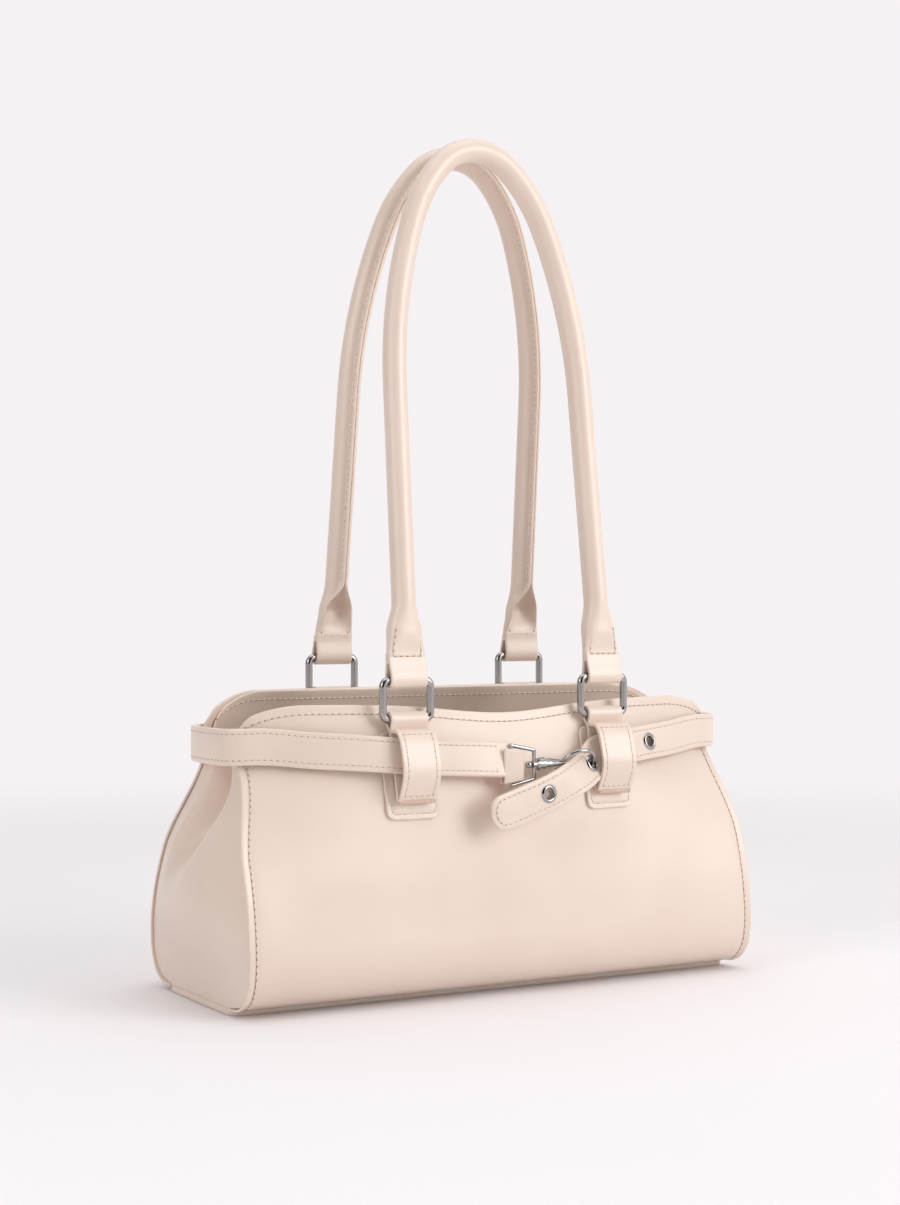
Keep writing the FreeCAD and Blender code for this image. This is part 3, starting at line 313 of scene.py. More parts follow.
# Front and back panels: soft leather sheets that swell over the base, roll under at the foot
# and narrow to the mouth. Their end edges lap over the gussets and are turned in and sewn.
FRONT = -1
BACK = 1
MOUTH_WIDTH = 275.0
NARROW_START = 72.0
BODY_DEPTH = 122.0
BELLY_HEIGHT = 30.0
NECK_HEIGHT = 117.0
NECK_DEPTH = 34.0
MOUTH_DEPTH = 70.0
MIDDLE_BULGE = 2.0
TOP_LEAN = -9.0
ROLL_POWER = 2.6
NECK_POWER = 1.75
MOUTH_POWER = 1.3
END_POWER = 3.0
PANEL_THICK = 2.0
PARED_THICK = 1.2               # along the end seams
PARED_WIDTH = 3                 # of the thin strip,
PARED_SLOPE = 9                 # and of the slope up from it
PANEL_FOOT = WELT_HEIGHT - 0.2
FOOT_HALF_DEPTH = BASE_DEPTH / 2 - WELT_WIDTH + 1
FRONT_RIM_HEIGHT = 145.6
BACK_RIM_HEIGHT = 151.0
RIM_END_HEIGHT = 138.0
FRONT_RIM_DIP = 5.6
RIM_DIP_WIDTH = 45.0
RIM_END_RUN = 32.0
RIM_CORNER = 9.0                # the top corners are rounded down behind the belt
HEM_WIDTH = 3.0                 # turned edge along the end seams
HEM_RISE = 0.6
HEM_STEP = 1.6                  # width in which it falls to the panel,
HEM_STEP_INSIDE = 1.2           # and how much of that lies inside the hem
DENT_DEPTH = 0.7                # soft waves of the loose lower leather
DENT_TOP = 86.0
DENT_FADES = (30, 20, 25)       # widths in which they die out at the top, the foot and the ends
DENT_END_ROOM = 8
SLOPE_STEP = 0.2                # over which a slope is measured
SEAM_STITCH_INSET = 4.0
RIM_STITCH_INSET = 4.5
PANEL_PULL = 0.3                # how far the thread draws the panel in,
PANEL_PULL_WIDTH = 1.2          # and how far to each side of the stitches
PANEL_PITCH = 3.3               # from stitch to stitch


def smooth(share):
    share = np.clip(share, 0.0, 1.0)
    return share * share * (3 - 2 * share)


def lean(z):
    return TOP_LEAN * smooth((z - BELLY_HEIGHT) / (NECK_HEIGHT - BELLY_HEIGHT))


def half_width(z):
    narrowed = smooth((z - NARROW_START) / (NECK_HEIGHT - NARROW_START))
    return BAG_WIDTH / 2 - (BAG_WIDTH - MOUTH_WIDTH) / 2 * narrowed


def half_depth(z, deepest, narrowest, top, power):
    """Half depth of a panel at a height: rolled under below the belly, drawn in above it."""
    drop = np.clip((BELLY_HEIGHT - z) / (BELLY_HEIGHT - PANEL_FOOT), 0, 1)
    rolled = FOOT_HALF_DEPTH + (deepest - FOOT_HALF_DEPTH) * (1 - drop ** ROLL_POWER) ** (1 / ROLL_POWER)
    rise = np.clip((z - BELLY_HEIGHT) / (top - BELLY_HEIGHT), 0, None)
    if power == NECK_POWER:
        rise = np.minimum(rise, 1)
    return np.where(z < BELLY_HEIGHT, rolled, deepest - (deepest - narrowest) * rise ** power)


def seam_half_depth(z):
    return half_depth(z, BODY_DEPTH / 2, NECK_DEPTH / 2, NECK_HEIGHT, NECK_POWER)


def reach(side, x, z):
    """Distance of a panel's outer face from the middle plane of the base."""
    share = np.clip(np.abs(x) / (BAG_WIDTH / 2), 0, 1) ** END_POWER
    middle = half_depth(z, BODY_DEPTH / 2 + MIDDLE_BULGE, MOUTH_DEPTH / 2, BACK_RIM_HEIGHT, MOUTH_POWER)
    return middle * (1 - share) + seam_half_depth(z) * share + side * lean(z)


def unit(vectors):
    return vectors / np.linalg.norm(vectors, axis=-1, keepdims=True)


def outward(side, x, z):
    low = np.maximum(z - SLOPE_STEP, PANEL_FOOT)
    high = z + SLOPE_STEP
    slope_z = (reach(side, x, high) - reach(side, x, low)) / (high - low)
    slope_x = (reach(side, x + SLOPE_STEP, z) - reach(side, x - SLOPE_STEP, z)) / (2 * SLOPE_STEP)
    return unit(np.stack([-slope_x, side + 0 * x, -slope_z], -1))


def surface(side, x, z, out):
    """Points of a panel's outer face, moved squarely out from it."""
    x, z, out = np.broadcast_arrays(np.asarray(x, float), np.asarray(z, float), np.asarray(out, float))
    return np.stack([x, side * reach(side, x, z), z], -1) + outward(side, x, z) * out[..., None]


def rim(side, x):
    ends = np.clip(np.abs(x) - (MOUTH_WIDTH / 2 - RIM_END_RUN), 0, None) / RIM_END_RUN
    height = FRONT_RIM_HEIGHT if side == FRONT else BACK_RIM_HEIGHT
    dip = FRONT_RIM_DIP * np.exp(-(x / RIM_DIP_WIDTH) ** 2) if side == FRONT else 0.0
    over = np.clip(np.abs(x) - (MOUTH_WIDTH / 2 - RIM_CORNER), 0, 0.98 * RIM_CORNER)
    corner = RIM_CORNER - np.sqrt(RIM_CORNER ** 2 - over ** 2)
    return height - dip - (height - RIM_END_HEIGHT) * ends ** 2 - corner


def sheet(columns, rows, place):
    """Grid whose points are put in place (mm) by their shares, 0 to 1, across and up it."""
    bpy.ops.object.select_all(action="DESELECT")
    bpy.ops.mesh.primitive_grid_add(x_subdivisions=columns, y_subdivisions=rows, size=2)
    piece = bpy.context.object
    flat = np.empty(3 * len(piece.data.vertices))
    piece.data.vertices.foreach_get("co", flat)
    flat = flat.reshape(-1, 3)
    points = place((flat[:, 0] + 1) / 2, (flat[:, 1] + 1) / 2)
    piece.data.vertices.foreach_set("co", (points * MM).ravel())
    piece.data.update()
    return piece


INWARDS = -1                    # a sheet's thickness goes in from the face that is drawn,
BOTH_WAYS = 0                   # or to both sides of it


def thicken(piece, thick, offset, edge):
    """Give a sheet its thickness, round its edges and smooth it."""
    apply_modifier(piece, "SOLIDIFY", thickness=thick * MM, offset=offset, use_even_offset=True,
                   vertex_group="pared" if piece.vertex_groups else "")
    return soften_edges(piece, edge, 50)


# Waxed polyester thread, cream like the leather but a little darker, with a slight sheen.
thread, *_ = mottled_material("waxed_polyester_thread", {"Roughness": 0.55},
                              spot=0.4, dark="DCC8B7", light="F0E2D6")

# Needle holes: the raw brown middle of the leather, made darker with painted shade for the shadow inside the
# holes.
painted_hole_shade, *_ = mottled_material("raw_leather_hole_with_painted_shade", {"Roughness": 0.9},
                                   spot=0.5, dark="A0846D", light="BA9E88")

THREAD_WIDTH = 0.85
STITCH_SUNK = 0.05
STITCH_SLANT = math.radians(9)
HOLE_SHARE = 0.42               # of the pitch, between one stitch and the next
HOLE_WIDTH = 0.8 * THREAD_WIDTH
HOLE_DEPTH = 0.5
HOLE_SUNK = 0.12


def bead(length, width, height):
    """Long rounded bead of a stitch or needle hole: its points and faces, in mm."""
    bpy.ops.object.select_all(action="DESELECT")
    bpy.ops.mesh.primitive_uv_sphere_add(segments=6, ring_count=5, radius=0.5)
    ball = bpy.context.object
    bpy.ops.object.mode_set(mode="EDIT")
    bpy.ops.mesh.select_all(action="SELECT")
    bpy.ops.transform.rotate(value=math.pi / 2, orient_axis="Y", center_override=(0, 0, 0))
    bpy.ops.transform.resize(value=(length, width, height), center_override=(0, 0, 0))
    bpy.ops.object.mode_set(mode="OBJECT")
    points = np.array([vertex.co for vertex in ball.data.vertices])
    faces = [list(face.vertices) for face in ball.data.polygons]
    bpy.data.objects.remove(ball)
    return points, faces


def lengths_along(points):
    """Length of a line of points from its start to each of them."""
    return np.concatenate([[0], np.cumsum(np.linalg.norm(np.diff(points, axis=0), axis=1))])


def between(where, marks, values):
    """Rows of values at places between their marks, in straight steps."""
    return np.stack([np.interp(where, marks, column) for column in values.T], -1)


def sew(name, body, lines, pitch):
    """Rows of stitches along lines, each a pair of points and outward directions in mm."""
    stitch, stitch_faces = bead(pitch * (1 - HOLE_SHARE) + 0.3, THREAD_WIDTH, THREAD_WIDTH)
    # The sunk beads between the stitches are the needle holes; their dark colour is partly painted shade.
    gap, gap_faces = bead(pitch * HOLE_SHARE, HOLE_WIDTH, HOLE_DEPTH)
    points = []
    faces = []
    marks = []
    count = 0
    for path, ways in lines:
        runs = lengths_along(path)
        number = max(int(round(runs[-1] / pitch)), 1)
        middles = (np.arange(number) + 0.5) * runs[-1] / number
        gaps = np.arange(number + 1) * runs[-1] / number
        for shape, shape_faces, places, mark, sunk in ((stitch, stitch_faces, middles, 0, STITCH_SUNK),
                                                       (gap, gap_faces, gaps, 1, HOLE_SUNK)):
            here = between(places, runs, path)
            along = unit(between(np.minimum(places + 0.3, runs[-1]), runs, path)
                         - between(np.maximum(places - 0.3, 0), runs, path))
            out = unit(between(places, runs, ways))
            aside = unit(np.cross(out, along))
            out = np.cross(along, aside)
            along, aside = (along * math.cos(STITCH_SLANT) + aside * math.sin(STITCH_SLANT),
                            aside * math.cos(STITCH_SLANT) - along * math.sin(STITCH_SLANT))
            for i in range(len(places)):
                turned = np.stack([along[i], aside[i], out[i]])
                points.append(here[i] - out[i] * sunk + shape @ turned)
                faces += [[corner + count for corner in face] for face in shape_faces]
                marks += [mark] * len(shape_faces)
                count += len(shape)
    mesh = bpy.data.meshes.new(name)
    mesh.from_pydata((np.concatenate(points) * MM).tolist(), [], faces)
    mesh.polygons.foreach_set("use_smooth", [True] * len(faces))
    rows = bpy.data.objects.new(name, mesh)
    bpy.context.scene.collection.objects.link(rows)
    dress(rows, name, thread, body, "leather")
    # The needle holes take the raw leather colour that is darkened with painted shade.
    mesh.materials.append(painted_hole_shade)
    mesh.polygons.foreach_set("material_index", marks)
    return rows


def drawn_in(edge, inset, depth, width):
    """How far the thread draws leather in, at a distance from its edge."""
    return depth * np.exp(-((edge - inset) / width) ** 2)


def signed_power(values, power):
    return np.sign(values) * np.abs(values) ** power


def panel_bulge(side, x, z):
    """Raised hem along the end seams and rim, with the leather drawn in at the stitches."""
    end = half_width(z) - np.abs(x)
    top = rim(side, x) - z
    hem = HEM_RISE * (1 - smooth((end - HEM_WIDTH + HEM_STEP_INSIDE) / HEM_STEP))
    pulled = drawn_in(end, SEAM_STITCH_INSET, PANEL_PULL, PANEL_PULL_WIDTH)
    rim_pulled = drawn_in(top, RIM_STITCH_INSET, PANEL_PULL, PANEL_PULL_WIDTH)
    at_top, at_foot, at_ends = DENT_FADES
    loose = smooth((DENT_TOP - z) / at_top) * smooth((z - PANEL_FOOT) / at_foot) \
        * smooth((end - DENT_END_ROOM) / at_ends)
    dents = DENT_DEPTH * np.sin(x / 34 + z / 27 + 1.1) * np.sin(x / 61 - z / 19)
    return hem - pulled - rim_pulled + loose * dents


def pare_ends(panel):
    """Weights of a panel's thickness, which is pared down along the end seams."""
    group = panel.vertex_groups.new(name="pared")
    share = PARED_THICK / PANEL_THICK
    for vertex in panel.data.vertices:
        end = half_width(vertex.co.z / MM) - abs(vertex.co.x / MM)
        full = smooth((end - PARED_WIDTH) / PARED_SLOPE)
        group.add([vertex.index], float(share + (1 - share) * full), "REPLACE")
    return panel


def foot_spacing(share):
    """Rows up a panel, closer together where it rolls under."""
    return 0.55 * share + 0.45 * share ** 2


for side, name in ((FRONT, "front"), (BACK, "back")):
    def panel_point(u, v):
        across = signed_power((2 * u - 1) * -side, 0.9)
        top = rim(side, across * MOUTH_WIDTH / 2)
        z = PANEL_FOOT + (top - PANEL_FOOT) * foot_spacing(v)
        x = across * half_width(z)
        return surface(side, x, z, panel_bulge(side, x, z))

    panel = thicken(pare_ends(sheet(150, 96, panel_point)), PANEL_THICK, INWARDS, 0.5)
    dress(panel, name + "_leather_panel", leather, "bag", "leather", name + "_panel")
    lines = []
    for end in (-1, 1):
        z = np.linspace(PANEL_FOOT + 2, RIM_END_HEIGHT - 3, 200)
        x = end * (half_width(z) - SEAM_STITCH_INSET)
        lines.append((surface(side, x, z, 0.05), outward(side, x, z)))
    x = np.linspace(-MOUTH_WIDTH / 2 + 2.5, MOUTH_WIDTH / 2 - 2.5, 300)
    z = rim(side, x) - RIM_STITCH_INSET
    lines.append((surface(side, x, z, -0.1), outward(side, x, z)))
    sew(name + "_panel_stitching", "bag", lines, PANEL_PITCH)

# Facings and linings: a leather band inside the mouth, sewn to the rim, and thin cotton
# below it, hanging from the facing down to the base.
FACING_DEPTH = 36.0
FACING_THICK = 1.4
INSIDE = -PANEL_THICK - LAYER_GAP
END_ROOM = 3.6                  # the inside layers stop short of the end seams
FRONT_LINING_CUT = (0.279, 0.106)   # flat cloth, in metres, before its ends are cut aslant
BACK_LINING_CUT = (0.279, 0.117)
LINING_FOOT = PANEL_FOOT + 4

for side, name, cut in ((FRONT, "front", FRONT_LINING_CUT), (BACK, "back", BACK_LINING_CUT)):
    def facing_point(u, v):
        across = (2 * u - 1) * -side
        top = rim(side, across * MOUTH_WIDTH / 2)
        z = top - FACING_DEPTH * (1 - v)
        x = across * (half_width(z) - END_ROOM)
        return surface(side, x, z, INSIDE)

    def lining_point(u, v):
        across = (2 * u - 1) * -side
        top = rim(side, across * MOUTH_WIDTH / 2) - FACING_DEPTH
        z = LINING_FOOT + (top - LINING_FOOT) * foot_spacing(v)
        x = across * (half_width(z) - END_ROOM - 2)
        folds = 0.3 * np.sin(x / 13) * np.sin(z / 21)
        return surface(side, x, z, INSIDE - 0.6 + folds)

    facing = thicken(sheet(140, 14, facing_point), FACING_THICK, INWARDS, 0.4)
    dress(facing, name + "_leather_facing", leather, "bag", "leather", name + "_facing")
    lining = thicken(sheet(90, 40, lining_point), LINING_THICK, INWARDS, 0.2)
    dress(lining, name + "_cloth_lining", lining_cloth, "bag", "lining_cloth", name + "_lining")
    x = np.linspace(-MOUTH_WIDTH / 2 + 6, MOUTH_WIDTH / 2 - 6, 300)
    z = rim(side, x) - RIM_STITCH_INSET
    lines = [(surface(side, x, z, INSIDE - FACING_THICK - 0.05), -outward(side, x, z))]
    sew(name + "_facing_stitching", "bag", lines, PANEL_PITCH)

# Gussets: the two end panels, swelling low down and folded inwards in a deep pleat under the
# belt, with a loose cotton lining behind. Their edges are sewn under the big panels.
LEFT = -1
RIGHT = 1
GUSSET_THICK = 1.6
GUSSET_SET_IN = 1.2
GUSSET_DROP = 5.0               # its top stays hidden behind the belt
GUSSET_BULGE = 11.0
PLEAT_DEPTH = 30.0
PLEAT_START = 48.0
PLEAT_SHARE = 0.6
PLEAT_SWEEP = 0.4
PLEAT_CLOSING = 0.25
LINING_PLEAT_SHARE = 1.0
LINING_GAP = 1.2
SEAM_GAP = 0.1


def inside_half_depth(z, depth):
    """Half depth at the end seam, this far inside the big panels' outer faces."""
    z = np.asarray(z, float)
    end = half_width(z) - GUSSET_SET_IN
    low = np.full_like(z, PANEL_FOOT)
    high = z + depth
    for _ in range(40):
        middle = (low + high) / 2
        below = surface(BACK, end, middle, -depth)[..., 2] < z
        low = np.where(below, middle, low)
        high = np.where(below, high, middle)
    half = surface(BACK, end, low, -depth)[..., 1] - lean(low)
    return np.maximum(half, np.where(z < BELLY_HEIGHT, FOOT_HALF_DEPTH - 3 * SEAM_GAP, 0))


def gusset_point(end, z, across, pleat_share, set_in, short):
    """Point of an end sheet; the pleat runs back and closes as it comes down."""
    half = inside_half_depth(z, PARED_THICK + SEAM_GAP) - short
    pleated = smooth((z - PLEAT_START) / (NECK_HEIGHT - PLEAT_START))
    swell = GUSSET_BULGE * smooth((z - BELLY_HEIGHT / 2) / (BELLY_HEIGHT * 1.2)) * (1 - pleated)
    aside = np.abs(across - PLEAT_SWEEP * (1 - pleated)) / (pleat_share - PLEAT_CLOSING * (1 - pleated))
    fold = 0.5 + 0.5 * np.cos(np.pi * np.minimum(aside, 1.0))
    x = half_width(z) - set_in + swell * (1 - across ** 2) - PLEAT_DEPTH * pleated * fold
    return np.stack([end * x, lean(z) + half * across, z], -1)


for end, name in ((LEFT, "left"), (RIGHT, "right")):
    def outer_sheet(u, v):
        z = PANEL_FOOT + (RIM_END_HEIGHT - GUSSET_DROP - PANEL_FOOT) * foot_spacing(v)
        return gusset_point(end, z, (2 * u - 1) * end, PLEAT_SHARE, GUSSET_SET_IN, 0.0)

    def lining_sheet(u, v):
        top = RIM_END_HEIGHT - FACING_DEPTH / 2
        z = PANEL_FOOT + (top - PANEL_FOOT) * foot_spacing(v)
        set_in = GUSSET_SET_IN + GUSSET_THICK + LINING_GAP
        short = PANEL_THICK - PARED_THICK + FACING_THICK + 3 * LAYER_GAP
        return gusset_point(end, z, (2 * u - 1) * end, LINING_PLEAT_SHARE, set_in, short)

    gusset = thicken(sheet(90, 90, outer_sheet), GUSSET_THICK, INWARDS, 0.4)
    dress(gusset, name + "_leather_gusset", leather, "bag", "leather", name + "_gusset")
    lining = thicken(sheet(50, 50, lining_sheet), LINING_THICK, INWARDS, 0.2)
    dress(lining, name + "_cloth_lining", lining_cloth, "bag", "lining_cloth", name + "_lining")

# Patches and chapes: a stitched leather patch on the panel under each ring, and on it the
# chape, a strap folded round the ring and bowed out below so that the belt runs through it.
RING_SPACING = 114.0
CHAPE_X = RING_SPACING / 2
RING_WIRE = 3.8
FRONT_BAR_HEIGHT = 138.1
BACK_BAR_HEIGHT = 147.5
BAR_STANDOFF = 4.6
BAR_CLEARANCE = 0.35
STRAP_WIDTH = 20.0
STRAP_THICK = 1.6
CHAPE_BACK = 2.9
CHAPE_LENGTH = 39.5
LOOP_DEPTH = 14.8
LOOP_TOP = 6.5
BELT_FRONT_DROP = 19.6
PATCH_WIDTH = 28.6
PATCH_TOP = 6.5
PATCH_BOTTOM = 48.0
PATCH_THICK = 1.6
PATCH_CORNER = 4.5
PATCH_STITCH_INSET = 2.6
PATCH_PULL = 0.25
STRAP_PULL_WIDTH = 0.9
STRAP_STITCH_INSET = 2.3
STRAP_PITCH = 3.2
FOLD_RADIUS = RING_WIRE / 2 + BAR_CLEARANCE + STRAP_THICK / 2


def bar_height(side):
    return FRONT_BAR_HEIGHT if side == FRONT else BACK_BAR_HEIGHT


def bar_y(side):
    return side * (reach(side, np.float64(CHAPE_X), np.float64(bar_height(side))) + BAR_STANDOFF)


def round_corner(across, up, half_wide, half_tall, corner):
    """Squeeze the corners of a rectangle's points into round ones."""
    over_x = np.clip((np.abs(across) - half_wide + corner) / corner, 0, 1)
    over_z = np.clip((np.abs(up) - half_tall + corner) / corner, 0, 1)
    length = np.maximum(np.hypot(over_x, over_z), 1e-9)
    pull = np.where((over_x > 0) & (over_z > 0), np.maximum(over_x, over_z) / length, 1.0)
    x = np.where(over_x > 0, np.sign(across) * (half_wide - corner + corner * over_x * pull), across)
    z = np.where(over_z > 0, np.sign(up) * (half_tall - corner + corner * over_z * pull), up)
    return x, z


def round_outline(half_wide, half_tall, corner):
    """Points round a rounded rectangle, evenly enough to sew along."""
    points = []
    for start, sx, sz in ((0, 1, 1), (90, -1, 1), (180, -1, -1), (270, 1, -1)):
        for degrees in np.linspace(start, start + 90, 9):
            angle = math.radians(degrees)
            points.append((sx * (half_wide - corner) + corner * math.cos(angle),
                           sz * (half_tall - corner) + corner * math.sin(angle)))
    points.append(points[0])
    return np.array(points)


def along_path(points, shares):
    """Points at even shares of the length of a smooth line through given points."""
    points = np.asarray(points, float)
    runs = lengths_along(points)
    return spline_at(points, runs, np.asarray(shares) * runs[-1])


def spline_at(points, knots, where):
    """Cubic spline through points at their knots, with free ends."""
    gaps = np.diff(knots)
    count = len(knots)
    matrix = np.eye(count)
    wanted = np.zeros_like(points)
    for i in range(1, count - 1):
        matrix[i, i - 1:i + 2] = (gaps[i - 1], 2 * (gaps[i - 1] + gaps[i]), gaps[i])
        wanted[i] = 6 * ((points[i + 1] - points[i]) / gaps[i] - (points[i] - points[i - 1]) / gaps[i - 1])
    bend = np.linalg.solve(matrix, wanted)
    index = np.clip(np.searchsorted(knots, where) - 1, 0, count - 2)
    gap = gaps[index][:, None]
    before = (where - knots[index])[:, None]
    after = gap - before
    return (bend[index] * after ** 3 + bend[index + 1] * before ** 3) / (6 * gap) \
        + (points[index] / gap - bend[index] * gap / 6) * after \
        + (points[index + 1] / gap - bend[index + 1] * gap / 6) * before


def closed_tube(tube, degrees=50):
    """Join the long edges of a sheet that was bent round, close its ends and smooth it."""
    pick(tube)
    bpy.ops.object.mode_set(mode="EDIT")
    bpy.ops.mesh.select_all(action="SELECT")
    bpy.ops.mesh.remove_doubles(threshold=0.00001)
    bpy.ops.mesh.fill_holes(sides=0)
    bpy.ops.mesh.select_all(action="SELECT")
    bpy.ops.mesh.normals_make_consistent(inside=False)
    bpy.ops.object.mode_set(mode="OBJECT")
    smooth_by_angle(tube, degrees)
    return tube


def chape_line(side):
    """Middle line of the chape's strap, foot to ring to foot, as (y, z) points."""
    bar = bar_height(side)

    def at(out, below):
        return surface(side, np.float64(CHAPE_X), np.float64(bar - below), out)[1:]

    eye = np.array([bar_y(side), bar])
    back = [at(CHAPE_BACK + STRAP_THICK / 2, below) for below in np.linspace(CHAPE_LENGTH, LOOP_TOP, 6)]
    turn = [eye + FOLD_RADIUS * np.array([-side * math.cos(math.radians(a)), math.sin(math.radians(a))])
            for a in np.linspace(-10, 190, 9)]
    half_loop = BELT_FRONT_DROP - LOOP_TOP
    folded = CHAPE_BACK + STRAP_THICK * 1.5
    bow = LOOP_DEPTH - STRAP_THICK / 2 - folded
    bows = [(0, -half_loop), (0.5, -0.9 * half_loop), (0.9, -0.58 * half_loop), (1, 0),
            (0.94, 0.58 * half_loop), (0.62, half_loop), (0.24, 1.3 * half_loop),
            (0, CHAPE_LENGTH - BELT_FRONT_DROP)]
    front = [at(folded + bow * share, BELT_FRONT_DROP + below) for share, below in bows]
    return np.array(back + turn + front)


def strap_normals(path):
    """Directions square to a path in the upright plane, on its outer side."""
    along = np.gradient(path, axis=0)
    return unit(np.stack([along[:, 1], -along[:, 0]], -1))


# Raw folded end of a strap: fluffy fibres, a little darker than the finished face.
raw_edge, shader, place, fluff = mottled_material(
    "raw_leather_edge", {"Roughness": 0.8}, spot=0.7, dark="CDB09A", light="EAD6C6", detail=5.0)
bump = add_node(raw_edge, "Bump", {"Height": fluff, "Strength": 0.8, "Distance": 0.4 * MM})
link(raw_edge, bump.outputs["Normal"], shader, "Normal")
RAW_RADIUS = 1.15
LOW_STITCH_SHARE = 0.965        # of the strap's length, where its lowest row crosses
half_wide = PATCH_WIDTH / 2
half_tall = (PATCH_BOTTOM - PATCH_TOP) / 2

for side, depth_name in ((FRONT, "front"), (BACK, "back")):
    bar = bar_height(side)
    patch_middle = bar - (PATCH_TOP + PATCH_BOTTOM) / 2
    line = along_path(chape_line(side), np.linspace(0, 1, 141))
    share = np.linspace(0, 1, len(line))
    normals = strap_normals(line) * -side
    for end, end_name in ((LEFT, "left"), (RIGHT, "right")):
        name = depth_name + "_" + end_name
        middle = end * CHAPE_X

        def patch_point(u, v):
            across, up = round_corner((2 * u - 1) * half_wide * -side, (2 * v - 1) * half_tall,
                                      half_wide, half_tall, PATCH_CORNER)
            edge = np.minimum(half_wide - np.abs(across), half_tall - np.abs(up))
            pulled = drawn_in(edge, PATCH_STITCH_INSET, PATCH_PULL, STRAP_PULL_WIDTH)
            return surface(side, middle + across, patch_middle + up, LAYER_GAP + PATCH_THICK - pulled)

        patch = thicken(sheet(36, 52, patch_point), PATCH_THICK, INWARDS, 0.5)
        dress(patch, name + "_leather_patch", leather, "bag", "leather", name + "_patch")
        outline = round_outline(half_wide - PATCH_STITCH_INSET, half_tall - PATCH_STITCH_INSET,
                                PATCH_CORNER - PATCH_STITCH_INSET + 0.6)
        x = middle + outline[:, 0]
        z = patch_middle + outline[:, 1]
        sew(name + "_patch_stitching", "bag",
            [(surface(side, x, z, LAYER_GAP + PATCH_THICK - 0.2), outward(side, x, z))], STRAP_PITCH)

        def chape_point(u, v):
            return np.column_stack([middle + (2 * u - 1) * STRAP_WIDTH / 2, between(v, share, line)])

        chape = sheet(14, 141, chape_point)
        if side == BACK:
            chape.data.flip_normals()
        thicken(chape, STRAP_THICK, BOTH_WAYS, 0.45)
        dress(chape, name + "_leather_chape", leather, "bag", "leather", name + "_chape")

        foot_spot = line[-1] + normals[-1] * 0.3

        def raw_point(u, v):
            turn = 2 * np.pi * v
            x = middle + (2 * u - 1) * (STRAP_WIDTH / 2 - 0.3)
            rough = 1 + 0.1 * np.sin(5.1 * x + 3 * np.cos(turn)) + 0.08 * np.sin(9.7 * x + 2 * turn)
            radius = RAW_RADIUS * rough * np.where(np.minimum(u, 1 - u) < 0.02, 0.6, 1.0)
            return np.stack([x, foot_spot[0] + radius * np.cos(turn),
                             foot_spot[1] + 1.25 * radius * np.sin(turn)], -1)

        raw = closed_tube(sheet(70, 15, raw_point))
        dress(raw, name + "_raw_strap_end", raw_edge, "bag", "leather")
        low_row = int(len(line) * LOW_STITCH_SHARE)
        top_row = int(np.argmin(np.abs(line[:, 1] - (bar - LOOP_TOP - 0.5)) + 100 * (share < 0.5)))
        half = STRAP_WIDTH / 2 - STRAP_STITCH_INSET
        rows = []
        for sign in (-1, 1):
            path = line[top_row:low_row] + normals[top_row:low_row] * STRAP_THICK / 2
            x = np.full(len(path), middle + sign * half)
            rows.append((np.column_stack([x, path]), np.column_stack([0 * x, normals[top_row:low_row]])))
        for row in (top_row, low_row):
            x = np.linspace(-1, 1, 20) * half + middle
            spot = line[row] + normals[row] * STRAP_THICK / 2
            rows.append((np.column_stack([x, np.tile(spot, (20, 1))]),
                         np.column_stack([0 * x, np.tile(normals[row], (20, 1))])))
        sew(name + "_chape_stitching", "bag", rows, STRAP_PITCH)

# Rings and clasp: bent wire rings, cast snap hook and loop, all polished nickel plate.
# They are kept as they were built and only get their finish.
nickel, shader, place, haze = mottled_material(
    "polished_nickel_plate", {"Metallic": 1.0}, spot=6.0, dark="A9A7A5", light="B1AFAD")
polish = add_node(nickel, "MapRange", {"Value": haze, "To Min": 0.13, "To Max": 0.16})
link(nickel, polish.outputs["Result"], shader, "Roughness")

# Plain turned steel, unplated: greyer, with fine turning marks.
steel, *_ = mottled_material(
    "turned_steel", {"Metallic": 1.0, "Roughness": 0.32}, spot=0.6, dark="8E8D8C", light="A9A8A6", detail=3.0)

for name in ("front_left_ring", "front_right_ring", "back_left_ring", "back_right_ring",
             "clasp_loop", "clasp_hook", "clasp_gate", "clasp_swivel_pin"):
    coat(nodes[name], nickel)
for name in ("clasp_gate_pin", "clasp_gate_spring", "snap_socket", "snap_stud"):
    coat(nodes[name], steel)

# Handles: leather rolled round a cotton cord, its two edges sewn together into a fin on the
# inner side. The ends are flattened, folded round the ring bars and sewn back on themselves.
RING_PITCH = 19.0
HANDLE_DIAMETER = 12.0
CORE_DIAMETER = 8.8
FIN_HEIGHT = 4.0
FIN_LAYER = 1.4
FIN_PART_HEIGHT = 40.0          # above the ring bar; below this the two edges part
OPEN_HEIGHT = 24.0              # here the roll lies wide open, like a spoon
FLAT_HEIGHT = 12.0              # and here it is flat
TAB_END = 8.0
FRONT_HANDLE_RISE = 270.7
BACK_HANDLE_RISE = 261.0
FRONT_HANDLE_LEAN = 6.6
BACK_HANDLE_LEAN = 6.2
CROWN_RADIUS = 28.0
CROWN_ANGLE = 45.0
SHOULDER_RADIUS = 80.0
SHOULDER_ANGLE = 70.0
LEG_SPLAY = 1.0
TAB_THICK = 4.4
TAB_STITCH_INSET = 2.4
TAB_CROSS_STITCH = 11.5         # above the ring bar
TAB_STITCH_TOPS = ((-1, 24), (1, 13))   # on its outer and inner face
TAB_TAPER_START = 15
TAB_TAPER = 0.02                # the rows draw together by this share for each mm above it
SPOON_RISE = 0.14               # and stand out by this much, as the strap opens
CORE_START = 0.06               # share of the handle's length
CORD_STRANDS = 3
CORD_TWIST = 300                # radians from end to end
CORD_GROOVE = 0.04              # share of its radius
HANDLE_PITCH = 3.4


def mirrored(half):
    """Closed outline from its right half, which runs from the inner to the outer side."""
    half = np.array(half)
    return np.concatenate([half, (half * (-1, 1))[::-1]])


